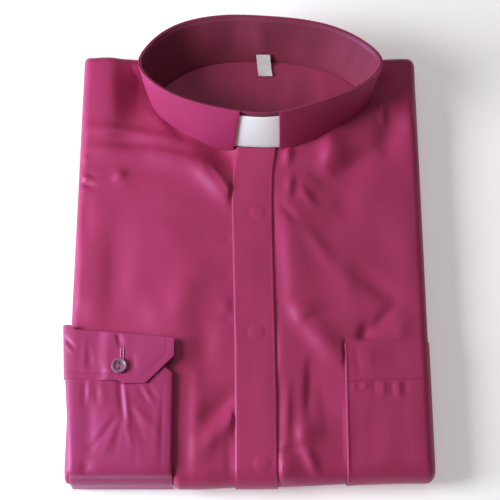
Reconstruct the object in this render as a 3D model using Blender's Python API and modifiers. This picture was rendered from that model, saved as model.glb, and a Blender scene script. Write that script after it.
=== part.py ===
"""A clergy shirt, folded flat for the shelf, its collar standing and its white tab in place.

Metres, Z up. +X is the side of the pocket, +Y runs from the lower end to the collar, and the
shirt lies on the plane z = 0. Sizes are written in millimetres times MM.

The cloth is laid on the pack by one function, lay: it takes a place on the flat cloth, p across
and q along, and a lift out of it, and gives the point in space, round the rolled edges too.
Whatever lies on a front is made from the front's own points with a larger lift.
"""
import math
from collections import namedtuple

import bmesh
import bpy
from mathutils import Vector

MM = 0.001

Crease = namedtuple("Crease", "x1 y1 x2 y2 half_width height")
Station = namedtuple("Station", "name seam top")
PlacketRow = namedtuple("PlacketRow", "q left right")
LayerRow = namedtuple("LayerRow", "side_out side_z hem_out hem_z")

# The folded pack
HALF_WIDTH = 124.5 * MM
HALF_LENGTH = 163 * MM
EDGE_HEIGHT = 25 * MM
CROWN = 3 * MM
SIDE_ROLL = 7 * MM      # radius of the folds at the sides and the shoulders
HEM_ROLL = 12.2 * MM    # radius of the lower fold, which takes in the whole pack

# Cloth
CLOTH = 1.2 * MM
SEAM = 0.3 * MM
LAID = 0.45 * MM        # the way between a front and what lies on it
TROUGH = 0.6 * MM       # the deepest that a crease goes below the smooth cloth
HELD, FREE = 2 * MM, 11 * MM    # creases start and are whole this far from what holds the cloth
SIDE_TURN = math.radians(33)    # one row of cloth round a side's fold
HEM_TURN = math.radians(30)     # one row of cloth round the lower fold
ROUND_ROWS = 5                  # rows of a front round each fold
LAID_ROWS = 4                   # rows round it of what lies on a front

INNER_X = HALF_WIDTH - SIDE_ROLL
INNER_TOP = HALF_LENGTH - SIDE_ROLL
INNER_HEM = HALF_LENGTH - HEM_ROLL

# The lower end isn't straight: it is short below the pocket and under the sleeve
SHORT_FROM, SHORT_FULL = -50 * MM, -150 * MM
SHORT_AT_POCKET, SHORT_AT_SLEEVE = 4.3 * MM, 2.2 * MM
POCKET_BEND, SLEEVE_BEND = (20 * MM, 110 * MM), (-44 * MM, -62 * MM)

# The shoulders sink beside the back of the collar, where the pack is thin
NAPE_DIP = 7 * MM
NAPE_SLOPE = 24 * MM        # how far out from the collar the shoulders slope
NAPE_FROM, NAPE_FULL = 112 * MM, 148 * MM
NECK_HALF = (80 * MM, 57 * MM)          # half the collar's width at its middle and at its back
NECK_HALF_AT = (135 * MM, 160 * MM)

# How square each corner of the pack is: 2 is round, more is squarer
CORNERS = {
    ("right_side", "top"): 2.2, ("left_side", "top"): 5.0,
    ("right_side", "hem"): 1.7, ("left_side", "hem"): 4.0,
}

# Creases in the fronts, in mm
CREASES = tuple(Crease(*row) for row in (
    (-97, 143, -86, 102, 9, -0.6),
    (-122, 99, -80, 97, 7, 1.8),
    (-80, 97, -45, 78, 7, 2.2),
    (-45, 78, -12, 41, 8, 1.8),
    (-121, 80, -62, 80, 6, 1.2),
    (-113, 14, -40, -36, 14, -0.6),
    (-22, -100, -22, -140, 14, 1.0),
    (53, 81, 67, 101, 8, 1.6),
    (26, 81, 26, 69, 5, 1.2),
    (27, 53, 40, 43, 6, 1.2),
    (23, 17, 30, -43, 7, 1.2),
    (30, -43, 60, -75, 7, 1.4),
    (121, 75, 81, 50, 12, 1.6),
    (81, 50, 67, 31, 12, 1.2),
    (47, 5, 46, -33, 12, -0.6),
    (79, -58, 96, -48, 6, 1.4),
    (32, -108, 32, -138, 6, 1.4),
))

# The collar's outer face, in mm, all round from the front: its seam, then its top edge
COLLAR_STATIONS = tuple(Station(*row) for row in (
    ("front", (7, 84.7, 28.0), (7, 95.6, 62.0)),
    ("front_2", (31, 85.5, 27.8), (33, 99.8, 61.4)),
    ("front_3", (58, 97, 26.0), (61, 109.3, 60.0)),
    ("front_4", (76, 109, 24.2), (77, 116.7, 58.9)),
    ("front_5", (86, 120, 22.6), (89.5, 126, 57.5)),
    ("pocket_side", (89, 132, 20.6), (98, 139, 55.6)),
    ("back_1", (82, 143, 18.6), (92, 152.5, 53.6)),
    ("back_2", (64, 157, 16.6), (73, 168.3, 51.3)),
    ("back_3", (36, 164.5, 15.8), (45, 179, 49.8)),
    ("back", (8, 166.5, 15.6), (5, 183.5, 49.0)),
    ("back_5", (-20, 166, 15.6), (-22, 183.7, 49.0)),
    ("back_6", (-46, 159, 16.2), (-48, 177.8, 49.9)),
    ("back_7", (-64, 147, 17.9), (-66, 166.5, 51.6)),
    ("sleeve_side", (-73, 135, 19.9), (-77, 152.2, 53.7)),
    ("front_14", (-73, 123, 22.0), (-81.5, 139.5, 55.5)),
    ("front_15", (-66, 112, 23.8), (-74.5, 126, 57.5)),
    ("front_16", (-53, 101, 25.4), (-58.5, 113, 59.4)),
    ("front_17", (-30, 89, 27.4), (-33, 103.5, 60.8)),
))
COLLAR_STEPS = 3            # columns of cloth from one station to the next
COLLAR_ROWS = 4
COLLAR_BULGE = 0.8 * MM     # how far the band bows out between its seam and its top edge
TAB_HALF = 15 * MM          # half the width of the gap in the collar band
TAB_TUCK = 9 * MM           # how far the tab runs on behind the band at each end
TAB_SHEET = 0.8 * MM
TAB_TOP = 0.87              # share of the band's height that the tab covers
TAB_WAY = CLOTH + LAID      # from the band's outer face to the tab's
NECKBAND_WAY = TAB_WAY + TAB_SHEET + SEAM
NECKBAND_TOP = 0.985        # share of the outer band's height
TURN_STEP = 0.004           # the step round the collar that its directions are measured over
FRONT_TURNS = 0.15          # how far round the collar the search for a distance goes
FRONT_STEPS = 60
TAB_ROOM = (0.012, 0.05)    # past the tab's end, the neckband comes out to the band between these
NECK_MIDDLE = 8 * MM
NECK_CLEAR = 0.5 * MM
NECK_LEVELS = (0, 0.35, 0.7, 1)
NECK_OPEN_FROM = (157 * MM, 161 * MM)   # past this the space runs out through the pack's end
NECK_PAST_END = HALF_LENGTH + 30 * MM
NECK_ABOVE = 90 * MM
RECESS_FLOOR = 13.4 * MM    # the hidden layers under the open neck
FLOOR_UNDER_FRONTS = 5 * MM

# The yoke, along y: its front, where it turns under, and its end
YOKE_FRONT, YOKE_BACK, YOKE_END = 91 * MM, 165.5 * MM, 160 * MM
YOKE_ROLL = 1.9 * MM
YOKE_NARROWING = 4.5 * MM   # how much further in its sides run past the back seam
YOKE_NARROW_FROM = (148 * MM, 160 * MM)
YOKE_WAVE = 0.9 * MM

# The fly placket's edges, in mm
PLACKET_EDGES = tuple(PlacketRow(*row) for row in (
    (92, -9.0, 21.0), (81, -9.3, 19.6), (65, -11.9, 17.6), (44, -12.7, 16.9),
    (5, -11.9, 17.3), (-70, -10.1, 18.6), (-107, -9.8, 19.2), (-190, -9.3, 19.6),
))
PLACKET_TOP = 92 * MM
FRONT_EDGE = 4 * MM         # where the two fronts meet under the placket
FRONT_COLUMNS = 12
FRONT_ROWS = 26

# The chest pocket, which runs round the pocket side's fold
POCKET_LEFT = 66.0 * MM
POCKET_TOP = (-65.0 * MM, -62.0 * MM)    # at its left edge and at the fold
POCKET_HEM = 28.5 * MM
HEM_EXTRA = 0.5 * MM
POCKET_CORNER = 0.4 * MM    # how much further out it lies at the lower corner

# The sleeve, which comes round the lower fold, and its cuff
SLEEVE_LEFT = (-120.5 * MM, -123.5 * MM)    # at the lower fold and at the cuff
SLEEVE_COLUMNS = (0.0275, 0.084, 0.25, 0.43, 0.6, 0.78, 0.94, 0.985)
SLEEVE_RIGHT = -52 * MM
SLEEVE_TOP = -94.6 * MM
SLEEVE_CORNER = (-84 * MM, -90 * MM)        # the corner that shows beyond the mitre
SLEEVE_HEIGHT = 4.2 * MM
SLEEVE_AT_FOLD = 2.9 * MM
SLEEVE_FULL = (-INNER_HEM - 5 * MM, -125 * MM)  # it rises to its full height between these
SLEEVE_MITRE = -58 * MM                     # right of this the sleeve's end slants
SLEEVE_STEP = (-86 * MM, -80 * MM)          # the end moves up between these, beyond the mitre
SLEEVE_DROP = (11 * MM, 5 * MM)             # the last rows, below the turn of the lower fold
SLEEVE_WALL = 1.0 * MM
CUFF_TOP = (-56.5 * MM, -62.0 * MM)         # at the fold and at the free end
CUFF_SEAM = -94 * MM
CUFF_MITRE = (-69 * MM, -76 * MM)           # where the mitre starts below, and ends at the side
CUFF_RIGHT = -52.5 * MM
CUFF_UNDER = 2 * MM                         # how much shorter its lower layer is at that end
CUFF_UNDER_LOW = -80 * MM                   # the lower layer's seam, beyond the mitre
CUFF_UNDER_STEP = (-96 * MM, -88 * MM)
CUFF_WALL = 1.3 * MM
CUFF_LAP = 1.6 * MM                         # extra height of the end that laps the sleeve
CUFF_LAP_FROM = (-105 * MM, -96 * MM)
CUFF_FOLD = (0.965, 1.035)                  # where its cloth turns over, in shares of its way
BUTTON_PLACE = (-88.5 * MM, -83 * MM)
BUTTON_RADIUS = 5.5 * MM
BUTTON_THICK = 2.2 * MM
BUTTON_HOLE = 0.8 * MM
BUTTON_HOLE_WAY = 1.7 * MM
BUTTON_SIDES = 20
BUTTON_PROFILE = (          # shares of the radius and of the thickness
    (0.0, 0.62), (0.5, 0.62), (0.62, 0.9), (0.8, 1.0), (0.96, 0.8), (1.0, 0.45), (0.9, 0.1),
    (0.7, 0.0), (0.0, 0.0),
)

# The size label, blank
LABEL_CENTRE = 11 * MM
LABEL_HALF = 5.2 * MM
LABEL_SHEET = 0.5 * MM
LABEL_FROM = 0.16           # where it is sewn in, as a share of the neckband's height
LABEL_SLANT = 0.05
LABEL_ROUTE = (             # mm: way in from the seam, height above the lying label
    (2.4, 2.2), (4.4, 0.5), (9.0, 0.0), (14.5, 0.4),
)

# The edge of the hidden layers, in mm: out from the inner outline and height, at the sides and
# shoulders, then at the lower fold
LAYER_EDGE = tuple(LayerRow(*row) for row in (
    (0.4, 12.6, 4.4, 3.9), (0.5, 10.9, 4.3, 3.7), (4.2, 10.4, 4.2, 3.4), (6.2, 9.4, 4.1, 3.1),
    (6.7, 8.0, 4.0, 2.8), (6.1, 6.6, 3.9, 2.5), (4.4, 5.8, 3.8, 2.2), (2.8, 5.4, 3.7, 1.9),
    (4.6, 5.0, 3.6, 1.6), (6.5, 4.1, 3.4, 1.2), (6.9, 2.7, 3.2, 0.9), (6.2, 1.0, 2.8, 0.4),
    (4.8, 0.0, 2.0, 0.0),
))
LAYER_CORNER = 0.4 * MM     # how far out the layers reach at the two lower corners
LAYER_DRAW = 3.6 * MM       # how much further in they lie under the fronts there
LAYER_DIP = 0.3             # how far in they lie at the shoulders, as a share of the dip there

MAGENTA = (0.33, 0.055, 0.16)
DEEP_MAGENTA = (0.27, 0.045, 0.13)
WHITE = (0.80, 0.81, 0.81)
BUTTON_COLOUR = (0.42, 0.19, 0.30)


def smooth_step(start, end, value):
    share = min(max((value - start) / (end - start), 0), 1)
    return share * share * (3 - 2 * share)


def mix(first, second, share):
    return first + (second - first) * share


def steps(stops, counts):
    """Evenly spaced values between the stops, counts[i] of them from stop i to the next."""
    values = [stops[0]]
    for start, end, count in zip(stops, stops[1:], counts):
        values += [mix(start, end, (index + 1) / count) for index in range(count)]
    return values


# The pack's form


def crease_height(p, q):
    """How far the fronts rise or sink at this place, with the creases added up."""
    total = 0.0
    here = Vector((p, q))
    for crease in CREASES:
        start = Vector((crease.x1, crease.y1)) * MM
        run = Vector((crease.x2, crease.y2)) * MM - start
        along = min(max((here - start).dot(run) / run.length_squared, 0), 1)
        away = (here - start - run * along).length / (crease.half_width * MM)
        taper = 0.35 + 0.65 * math.sin(math.pi * along)
        total += crease.height * MM * taper * math.exp(-away * away)
    return max(total, -TROUGH) * free_cloth(p, q)


def free_cloth(p, q):
    """1 on open cloth, and 0 under the placket and the pocket, which hold it flat."""
    left, right = placket_edges(q)
    off_placket = max(left - p, p - right, 0)
    off_pocket = max(POCKET_LEFT - p, q - POCKET_TOP[1], 0)
    return smooth_step(HELD, FREE, min(off_placket, off_pocket))


def nape_dip(x, y):
    """How far the shoulders sink towards the back of the collar, where the pack is thin."""
    neck = mix(*NECK_HALF, smooth_step(*NECK_HALF_AT, y))
    beside = max(abs(x - NECK_MIDDLE) - neck, 0) / NAPE_SLOPE
    return NAPE_DIP * smooth_step(NAPE_FROM, NAPE_FULL, y) * math.exp(-beside * beside)


def pack_height(x, y):
    """Height of the upper cloth: level at the edges and a little crowned between them."""
    crown = CROWN * (1 - (x / HALF_WIDTH) ** 2) * (1 - (y / HALF_LENGTH) ** 2)
    return EDGE_HEIGHT + crown - nape_dip(x, y)


def fold_angles(p, q):
    """How far round the side's fold and the end's fold this place lies, in radians."""
    end_roll, inner_y = (HEM_ROLL, INNER_HEM) if q < 0 else (SIDE_ROLL, INNER_TOP)
    side = max(abs(p) - INNER_X, 0) / SIDE_ROLL
    end = max(abs(q) - inner_y, 0) / end_roll
    return side, end, end_roll, inner_y


def corner_share(p, q, side, end):
    """Shares of the sideways and the endways push at a place on or near a corner."""
    turn = max(side, end)
    if turn == 0:
        return 1.0, 0.0
    angle = math.pi / 4 * min(side, end) / turn
    if end > side:
        angle = math.pi / 2 - angle
    square = CORNERS["right_side" if p > 0 else "left_side", "hem" if q < 0 else "top"]
    return math.cos(angle) ** (2 / square), math.sin(angle) ** (2 / square)


def settle(x, y, z):
    """The pack is a little short below the pocket and under the sleeve."""
    short = SHORT_AT_POCKET * smooth_step(*POCKET_BEND, x)
    short += SHORT_AT_SLEEVE * smooth_step(*SLEEVE_BEND, x)
    return Vector((x, y + short * smooth_step(SHORT_FROM, SHORT_FULL, y), z))


def lay(p, q, lift=0.0, creased=True):
    """The point of a cloth laid on the pack, lift above the smooth outer face of the fronts."""
    side, end, end_roll, inner_y = fold_angles(p, q)
    turn = max(side, end)
    across, along = corner_share(p, q, side, end)
    x = math.copysign(min(abs(p), INNER_X), p)
    y = math.copysign(min(abs(q), inner_y), q)
    out = lift
    if creased and turn < math.pi / 2:
        out += crease_height(x, y) * math.cos(turn) ** 2
    if q > 0:
        end_roll -= nape_dip(x, y) / 2
    roll = mix(SIDE_ROLL, end_roll, along * along)
    z = pack_height(x, y) - roll + (roll + out) * math.cos(turn)
    x += math.copysign((SIDE_ROLL + out) * math.sin(turn) * across, p)
    y += math.copysign((end_roll + out) * math.sin(turn) * along, q)
    return settle(x, y, z)


def hang(p, q, lift, floor_way=0.8 * MM):
    """Like lay, but past a quarter turn of the lower fold the cloth drops straight down."""
    quarter = -INNER_HEM - HEM_ROLL * math.pi / 2
    if q >= quarter:
        return lay(p, q, lift)
    edge = lay(p, quarter, lift)
    edge.z = max(edge.z + q - quarter, floor_way)
    return edge


# Making objects


def material(name, colour, roughness):
    finish = bpy.data.materials.new(name)
    finish.use_nodes = True
    shader = finish.node_tree.nodes["Principled BSDF"]
    shader.inputs["Base Color"].default_value = (*colour, 1)
    shader.inputs["Roughness"].default_value = roughness
    shader.inputs["Metallic"].default_value = 0
    return finish


def place_object(name, mesh_maker, finish, collection):
    mesh = bpy.data.meshes.new(name)
    mesh_maker.to_mesh(mesh)
    mesh_maker.free()
    mesh.materials.append(finish)
    mesh.shade_smooth()
    mesh.set_sharp_from_angle(angle=math.radians(40))
    piece = bpy.data.objects.new(name, mesh)
    collection.objects.link(piece)
    return piece


def sheet(across, along, place):
    """A grid with one column for each value of across and one row for each value of along."""
    grid = bmesh.new()
    columns, rows = len(across) - 1, len(along) - 1
    bmesh.ops.create_grid(grid, x_segments=columns, y_segments=rows, size=0.5)
    for vert in grid.verts:
        column = round((vert.co.x + 0.5) * columns)
        row = round((vert.co.y + 0.5) * rows)
        vert.co = place(across[column], along[row])
    return grid


def loft(rings, cap_first=False, cap_last=False):
    """Walls between closed rings of equally many points, each ring the next one's neighbour."""
    skin = bmesh.new()
    loops = [[skin.verts.new(point) for point in ring] for ring in rings]
    for lower, upper in zip(loops, loops[1:]):
        for index in range(len(lower)):
            after = (index + 1) % len(lower)
            skin.faces.new((lower[index], lower[after], upper[after], upper[index]))
    if cap_first:
        skin.faces.new(loops[0][::-1])
    if cap_last:
        skin.faces.new(loops[-1])
    return skin


def thicken(piece, thickness):
    wall = piece.modifiers.new("Wall", "SOLIDIFY")
    wall.thickness = thickness
    wall.offset = -1
    wall.use_even_offset = True


def cut(piece, cutter):
    boolean = piece.modifiers.new("Cut", "BOOLEAN")
    boolean.operation = "DIFFERENCE"
    boolean.solver = "EXACT"
    boolean.object = cutter


def hide_cutter(cutter):
    cutter.hide_render = True
    cutter.display_type = "WIRE"


# The collar


def ring_point(turn, height):
    """A point of the collar's outer face: turn 0 to 1 round it, height 0 to 1 up it."""
    count = len(COLLAR_STATIONS)
    place = turn % 1 * count
    first = int(place)
    share = place - first
    points = []
    for offset in (-1, 0, 1, 2):
        station = COLLAR_STATIONS[(first + offset) % count]
        points.append(Vector(station.seam).lerp(Vector(station.top), height) * MM)
    before, start, end, after = points
    return 0.5 * (
        2 * start
        + (end - before) * share
        + (2 * before - 5 * start + 4 * end - after) * share ** 2
        + (3 * start - before - 3 * end + after) * share ** 3
    )


def band_point(turn, height, inward=0.0):
    """A point inward of the collar's bowed outer face, square to it."""
    point = ring_point(turn, height)
    round_it = ring_point(turn + TURN_STEP, height) - ring_point(turn - TURN_STEP, height)
    up_it = ring_point(turn, 1) - ring_point(turn, 0)
    outward = round_it.cross(up_it).normalized()
    bow = COLLAR_BULGE * (1 - (2 * height - 1) ** 2)
    return point + outward * (bow - inward)


def front_turn(distance):
    """The turn at this distance along the seam from the middle of the front."""
    reach = 0.0
    last = ring_point(0, 0)
    for index in range(FRONT_STEPS):
        turn = math.copysign((index + 1) / FRONT_STEPS * FRONT_TURNS, distance)
        point = ring_point(turn, 0)
        reach += (point - last).length
        if reach >= abs(distance):
            return turn
        last = point
    return turn


def neckband_way(turn):
    """The neckband lies on the band, and makes room for the tab at the front."""
    from_front = (turn + 0.5) % 1 - 0.5
    reach = abs(front_turn(math.copysign(TAB_HALF + TAB_TUCK, from_front)))
    past = abs(from_front) - reach
    return mix(NECKBAND_WAY, TAB_WAY, smooth_step(*TAB_ROOM, past))


def make_collar_band(finish, collection):
    """The outer band: an open ring whose two ends leave a gap for the tab."""
    ends = (front_turn(TAB_HALF), 1 + front_turn(-TAB_HALF))
    columns = len(COLLAR_STATIONS) * COLLAR_STEPS
    grid = sheet(steps(ends, (columns - 3,)), steps((0, 1), (COLLAR_ROWS,)), band_point)
    piece = place_object("collar_band", grid, finish, collection)
    thicken(piece, CLOTH)
    return piece


def make_neckband(finish, collection):
    """The inner band: a closed ring inside the outer one, a hair lower at its top edge."""
    columns = len(COLLAR_STATIONS) * COLLAR_STEPS

    def place(turn, height):
        return band_point(turn, height, neckband_way(turn))

    grid = sheet(steps((0, 1), (columns,)), steps((0, NECKBAND_TOP), (COLLAR_ROWS,)), place)
    bmesh.ops.remove_doubles(grid, verts=grid.verts[:], dist=0.01 * MM)
    piece = place_object("neckband", grid, finish, collection)
    thicken(piece, CLOTH)
    return piece


def make_collar_tab(finish, collection):
    """The white insert, its two ends tucked between the bands."""
    ends = (front_turn(-TAB_HALF - TAB_TUCK), front_turn(TAB_HALF + TAB_TUCK))

    def place(turn, height):
        return band_point(turn, height, TAB_WAY)

    grid = sheet(steps(ends, (8,)), steps((0, TAB_TOP), (COLLAR_ROWS,)), place)
    piece = place_object("collar_tab", grid, finish, collection)
    thicken(piece, TAB_SHEET)
    return piece


def make_neck_cutter(name, floor, collection, finish):
    """The space that the collar takes out of the cloth under it, open through the pack's end."""
    count = len(COLLAR_STATIONS) * COLLAR_STEPS

    def ring(height, level=None):
        points = []
        for index in range(count):
            point = band_point(index / count, height, -NECK_CLEAR)
            opened = smooth_step(*NECK_OPEN_FROM, ring_point(index / count, 0).y)
            point.y = mix(point.y, NECK_PAST_END, opened)
            if level is not None:
                point.z = level
            points.append(point)
        return points

    rings = [ring(0, floor)] + [ring(height) for height in NECK_LEVELS] + [ring(1, NECK_ABOVE)]
    cutter = place_object(name, loft(rings, True, True), finish, collection)
    hide_cutter(cutter)
    return cutter


# The pack and the fronts


def round_side(rows):
    """The length of cloth that this many rows take round a side's or the shoulders' fold."""
    return rows * SIDE_ROLL * SIDE_TURN


def round_hem(rows):
    """The length of cloth that this many rows take round the lower fold."""
    return rows * HEM_ROLL * HEM_TURN


def front_rows():
    """The rows of a front along its length, with the folds at both ends."""
    low, high = -INNER_HEM - round_hem(ROUND_ROWS), INNER_TOP + round_side(ROUND_ROWS)
    return steps((low, -INNER_HEM, INNER_TOP, high), (ROUND_ROWS, FRONT_ROWS, ROUND_ROWS))


def make_folded_layers(finish, collection):
    """The back, the other sleeve and the folded tails: one solid, layered at its edges."""
    depth = -(CLOTH + SEAM + TROUGH)
    far = INNER_X + round_side(ROUND_ROWS)
    across = steps(
        (-far, -INNER_X, FRONT_EDGE, INNER_X, far),
        (ROUND_ROWS, FRONT_COLUMNS, FRONT_COLUMNS, ROUND_ROWS),
    )
    along = front_rows()

    def upper(p, q):
        side, end, _, _ = fold_angles(p, q)
        drawn_in = LAYER_DRAW * smooth_step(0, 1, min(side, end)) if q < 0 else 0.0
        return lay(p, q, depth - drawn_in, creased=False)

    grid = sheet(across, along, upper)
    border = [(p, along[0]) for p in across]
    border += [(across[-1], q) for q in along[1:]]
    border += [(p, along[-1]) for p in across[-2::-1]]
    border += [(across[0], q) for q in along[-2:0:-1]]
    rings = [[upper(p, q) for p, q in border]]
    for row in LAYER_EDGE:
        rings.append([layer_point(p, q, row) for p, q in border])
    edge = loft(rings[::-1], cap_first=True)
    mesh = bpy.data.meshes.new("layer_edge")
    edge.to_mesh(mesh)
    edge.free()
    grid.from_mesh(mesh)
    bpy.data.meshes.remove(mesh)
    bmesh.ops.remove_doubles(grid, verts=grid.verts[:], dist=0.001 * MM)
    return place_object("folded_layers", grid, finish, collection)


def layer_point(p, q, row):
    """A point of the layered edge, between the sides' row and the lower fold's."""
    side, end, _, inner_y = fold_angles(p, q)
    across, along = corner_share(p, q, side, end)
    at_hem = smooth_step(0, 0.35, along * along) if q < 0 else 0.0
    at_lower_corner = q < 0 and side > 0 and end > 0
    out = LAYER_CORNER if at_lower_corner else mix(row.side_out, row.hem_out, at_hem) * MM
    x = math.copysign(min(abs(p), INNER_X), p)
    y = math.copysign(min(abs(q), inner_y), q)
    dip = nape_dip(x, y)
    out = max(out - LAYER_DIP * dip * along * along, 0)
    z = mix(row.side_z, row.hem_z, at_hem) * MM
    z -= dip * (1 - along * along) * row.side_z / LAYER_EDGE[0].side_z
    x += math.copysign(out * across, p)
    y += math.copysign(out * along, q)
    return settle(x, y, z)


def make_front(name, outer_side, finish, collection):
    """One front: from the edge under the placket over the chest and round its side's fold."""
    far, fold = outer_side * (INNER_X + round_side(ROUND_ROWS)), outer_side * INNER_X
    edge = FRONT_EDGE + outer_side * SEAM / 2
    across = steps((far, fold, edge), (ROUND_ROWS, FRONT_COLUMNS))
    if outer_side > 0:
        across.reverse()
    piece = place_object(name, sheet(across, front_rows(), lay), finish, collection)
    thicken(piece, CLOTH)
    return piece


def placket_edges(q):
    """The placket's two edges at this place along it, read between the table's rows."""
    place = q / MM
    for start, end in zip(PLACKET_EDGES, PLACKET_EDGES[1:]):
        if place >= end.q:
            break
    share = min(max((start.q - place) / (start.q - end.q), 0), 1)
    return mix(start.left, end.left, share) * MM, mix(start.right, end.right, share) * MM


def make_placket(finish, collection):
    """The fly placket: a strip over both fronts from the collar round the lower fold."""
    lift = LAID + CLOTH

    def place(share, q):
        left, right = placket_edges(q)
        return lay(mix(left, right, share), q, lift)

    low = -INNER_HEM - round_hem(LAID_ROWS)
    along = steps((low, -INNER_HEM, PLACKET_TOP), (LAID_ROWS, 22))
    piece = place_object("fly_placket", sheet(steps((0, 1), (4,)), along, place), finish, collection)
    thicken(piece, CLOTH)
    return piece


def make_pocket(finish, collection):
    """The chest pocket with its deep hem, folded away round the side and the lower end."""
    lift = LAID + CLOTH
    far = INNER_X + round_side(LAID_ROWS)
    across = steps((POCKET_LEFT, INNER_X, far), (5, LAID_ROWS))
    bottom = -INNER_HEM - round_hem(LAID_ROWS)

    def place(p, share):
        slant = (min(p, INNER_X) - POCKET_LEFT) / (INNER_X - POCKET_LEFT)
        top = mix(*POCKET_TOP, slant)
        seam = top - POCKET_HEM
        levels = (bottom, -INNER_HEM, seam - 1 * MM, seam, top)
        index = min(int(share), 3)
        q = mix(levels[index], levels[index + 1], share - index)
        extra = HEM_EXTRA if share >= 3 else 0.0
        side, end, _, _ = fold_angles(p, q)
        extra += POCKET_CORNER * smooth_step(0, 1, min(side, end))
        return lay(p, q, lift + extra)

    along = steps((0, 1, 2, 3, 4), (LAID_ROWS, 6, 1, 3))
    piece = place_object("chest_pocket", sheet(across, along, place), finish, collection)
    thicken(piece, CLOTH)
    return piece


# The sleeve


def sleeve_height(q):
    """The flattened sleeve's height: less round the lower fold, where it is drawn tight."""
    return mix(SLEEVE_AT_FOLD, SLEEVE_HEIGHT, smooth_step(*SLEEVE_FULL, q))


def sleeve_end(p):
    """Where the sleeve meets the cuff: at its seam, and higher under the cuff's free end."""
    inner, corner = SLEEVE_CORNER
    if p > SLEEVE_MITRE:
        return mix(inner, corner, (p - SLEEVE_MITRE) / (SLEEVE_RIGHT - SLEEVE_MITRE))
    return mix(SLEEVE_TOP, inner, smooth_step(*SLEEVE_STEP, p))


def make_sleeve(finish, collection):
    """The flattened sleeve: a tube from near the floor, round the lower fold, to the cuff."""
    loop = [(share, 1) for share in SLEEVE_COLUMNS] + [(1, 0.5)]
    loop += [(share, 0) for share in SLEEVE_COLUMNS[::-1]] + [(0, 0.5)]
    turns = [-INNER_HEM - HEM_ROLL * HEM_TURN * count for count in (3, 2, 1, 0)]
    rows = [(turns[0] - drop, 0) for drop in SLEEVE_DROP] + [(turn, 0) for turn in turns]
    rows += [(-INNER_HEM, (row + 1) / 7) for row in range(7)]
    rings = []
    for start, way in rows:
        ring = []
        for share, level in loop:
            q = mix(start, sleeve_end(mix(SLEEVE_LEFT[1], SLEEVE_RIGHT, share)), way)
            left = mix(*SLEEVE_LEFT, smooth_step(-INNER_HEM, SLEEVE_TOP, q))
            p = mix(left, SLEEVE_RIGHT, share)
            ring.append(hang(p, q, LAID + level * sleeve_height(q)))
        rings.append(ring)
    piece = place_object("sleeve", loft(rings), finish, collection)
    thicken(piece, SLEEVE_WALL)
    return piece


def cuff_height(p):
    """The cuff's height: its free end rises over the sleeve."""
    return SLEEVE_HEIGHT + CUFF_LAP * smooth_step(*CUFF_LAP_FROM, p)


def cuff_place(way, share):
    """The cuff's cloth: way runs 0 to 1 from the free end over the top to the fold, then to 2
    underneath; share runs up from the seam to the top edge."""
    under = way > 1
    fold = SLEEVE_LEFT[1] - 0.5 * MM
    p = mix(fold, CUFF_RIGHT - CUFF_UNDER, way - 1) if under else mix(CUFF_RIGHT, fold, way)
    slant = (p - fold) / (CUFF_RIGHT - fold)
    top = mix(*CUFF_TOP, slant)
    low = CUFF_SEAM
    if under:
        low = mix(CUFF_SEAM, CUFF_UNDER_LOW, smooth_step(*CUFF_UNDER_STEP, p))
    elif p > CUFF_MITRE[0]:
        low = mix(CUFF_SEAM, CUFF_MITRE[1], (p - CUFF_MITRE[0]) / (CUFF_RIGHT - CUFF_MITRE[0]))
    q = mix(low, top, share)
    level = 0.5 + 0.5 * math.cos(math.pi * smooth_step(*CUFF_FOLD, way))
    return lay(p, q, LAID + level * cuff_height(p))


def make_cuff(finish, collection):
    """The cuff: cloth folded round the sleeve's end, its mitred free end on top."""
    ways = steps((0, 0.24, 0.45, 0.6, 0.909, 0.965, 1.035, 1.0935, 2), (2, 2, 2, 2, 1, 4, 1, 8))
    grid = sheet(ways, steps((0, 1), (4,)), cuff_place)
    piece = place_object("cuff", grid, finish, collection)
    flip(piece.data)
    thicken(piece, CUFF_WALL)
    return piece


def flip(mesh):
    """Turn a sheet's faces over, so that its wall grows towards the cloth under it."""
    flipped = bmesh.new()
    flipped.from_mesh(mesh)
    bmesh.ops.reverse_faces(flipped, faces=flipped.faces[:])
    flipped.to_mesh(mesh)
    flipped.free()


def make_button(finish, collection, cutters, plain):
    """The cuff's button: a turned disc with a raised rim and two holes."""
    p, q = BUTTON_PLACE
    seat = lay(p, q, LAID + cuff_height(p) + SEAM)
    outline = bmesh.new()
    points = [
        outline.verts.new((out * BUTTON_RADIUS, 0, up * BUTTON_THICK)) for out, up in BUTTON_PROFILE
    ]
    for start, end in zip(points, points[1:]):
        outline.edges.new((start, end))
    piece = place_object("cuff_button", outline, finish, collection)
    turned = piece.modifiers.new("Turned", "SCREW")
    turned.axis = "Z"
    turned.angle = 2 * math.pi
    turned.steps = BUTTON_SIDES
    turned.render_steps = BUTTON_SIDES
    turned.use_merge_vertices = True
    turned.merge_threshold = 0.01 * MM
    piece.location = seat
    for side in (-1, 1):
        drill = bmesh.new()
        bmesh.ops.create_cone(
            drill, cap_ends=True, segments=8, radius1=BUTTON_HOLE, radius2=BUTTON_HOLE,
            depth=3 * BUTTON_THICK,
        )
        cutter = place_object(f"button_drill_{side + 1}", drill, plain, cutters)
        cutter.location = seat + Vector((0, side * BUTTON_HOLE_WAY, 0))
        hide_cutter(cutter)
        cut(piece, cutter)
    return piece


# Inside the neck


def neck_span(y):
    """The collar seam's left and right reach at this y, and past the back as it is there."""
    y = min(y, NECK_OPEN_FROM[0])
    lefts, rights = [], []
    count = 240
    points = [ring_point(index / count, 0) for index in range(count + 1)]
    for start, end in zip(points, points[1:]):
        if (start.y - y) * (end.y - y) <= 0 and start.y != end.y:
            x = mix(start.x, end.x, (y - start.y) / (end.y - start.y))
            (rights if x > NECK_MIDDLE else lefts).append(x)
    return min(lefts), max(rights)


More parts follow.
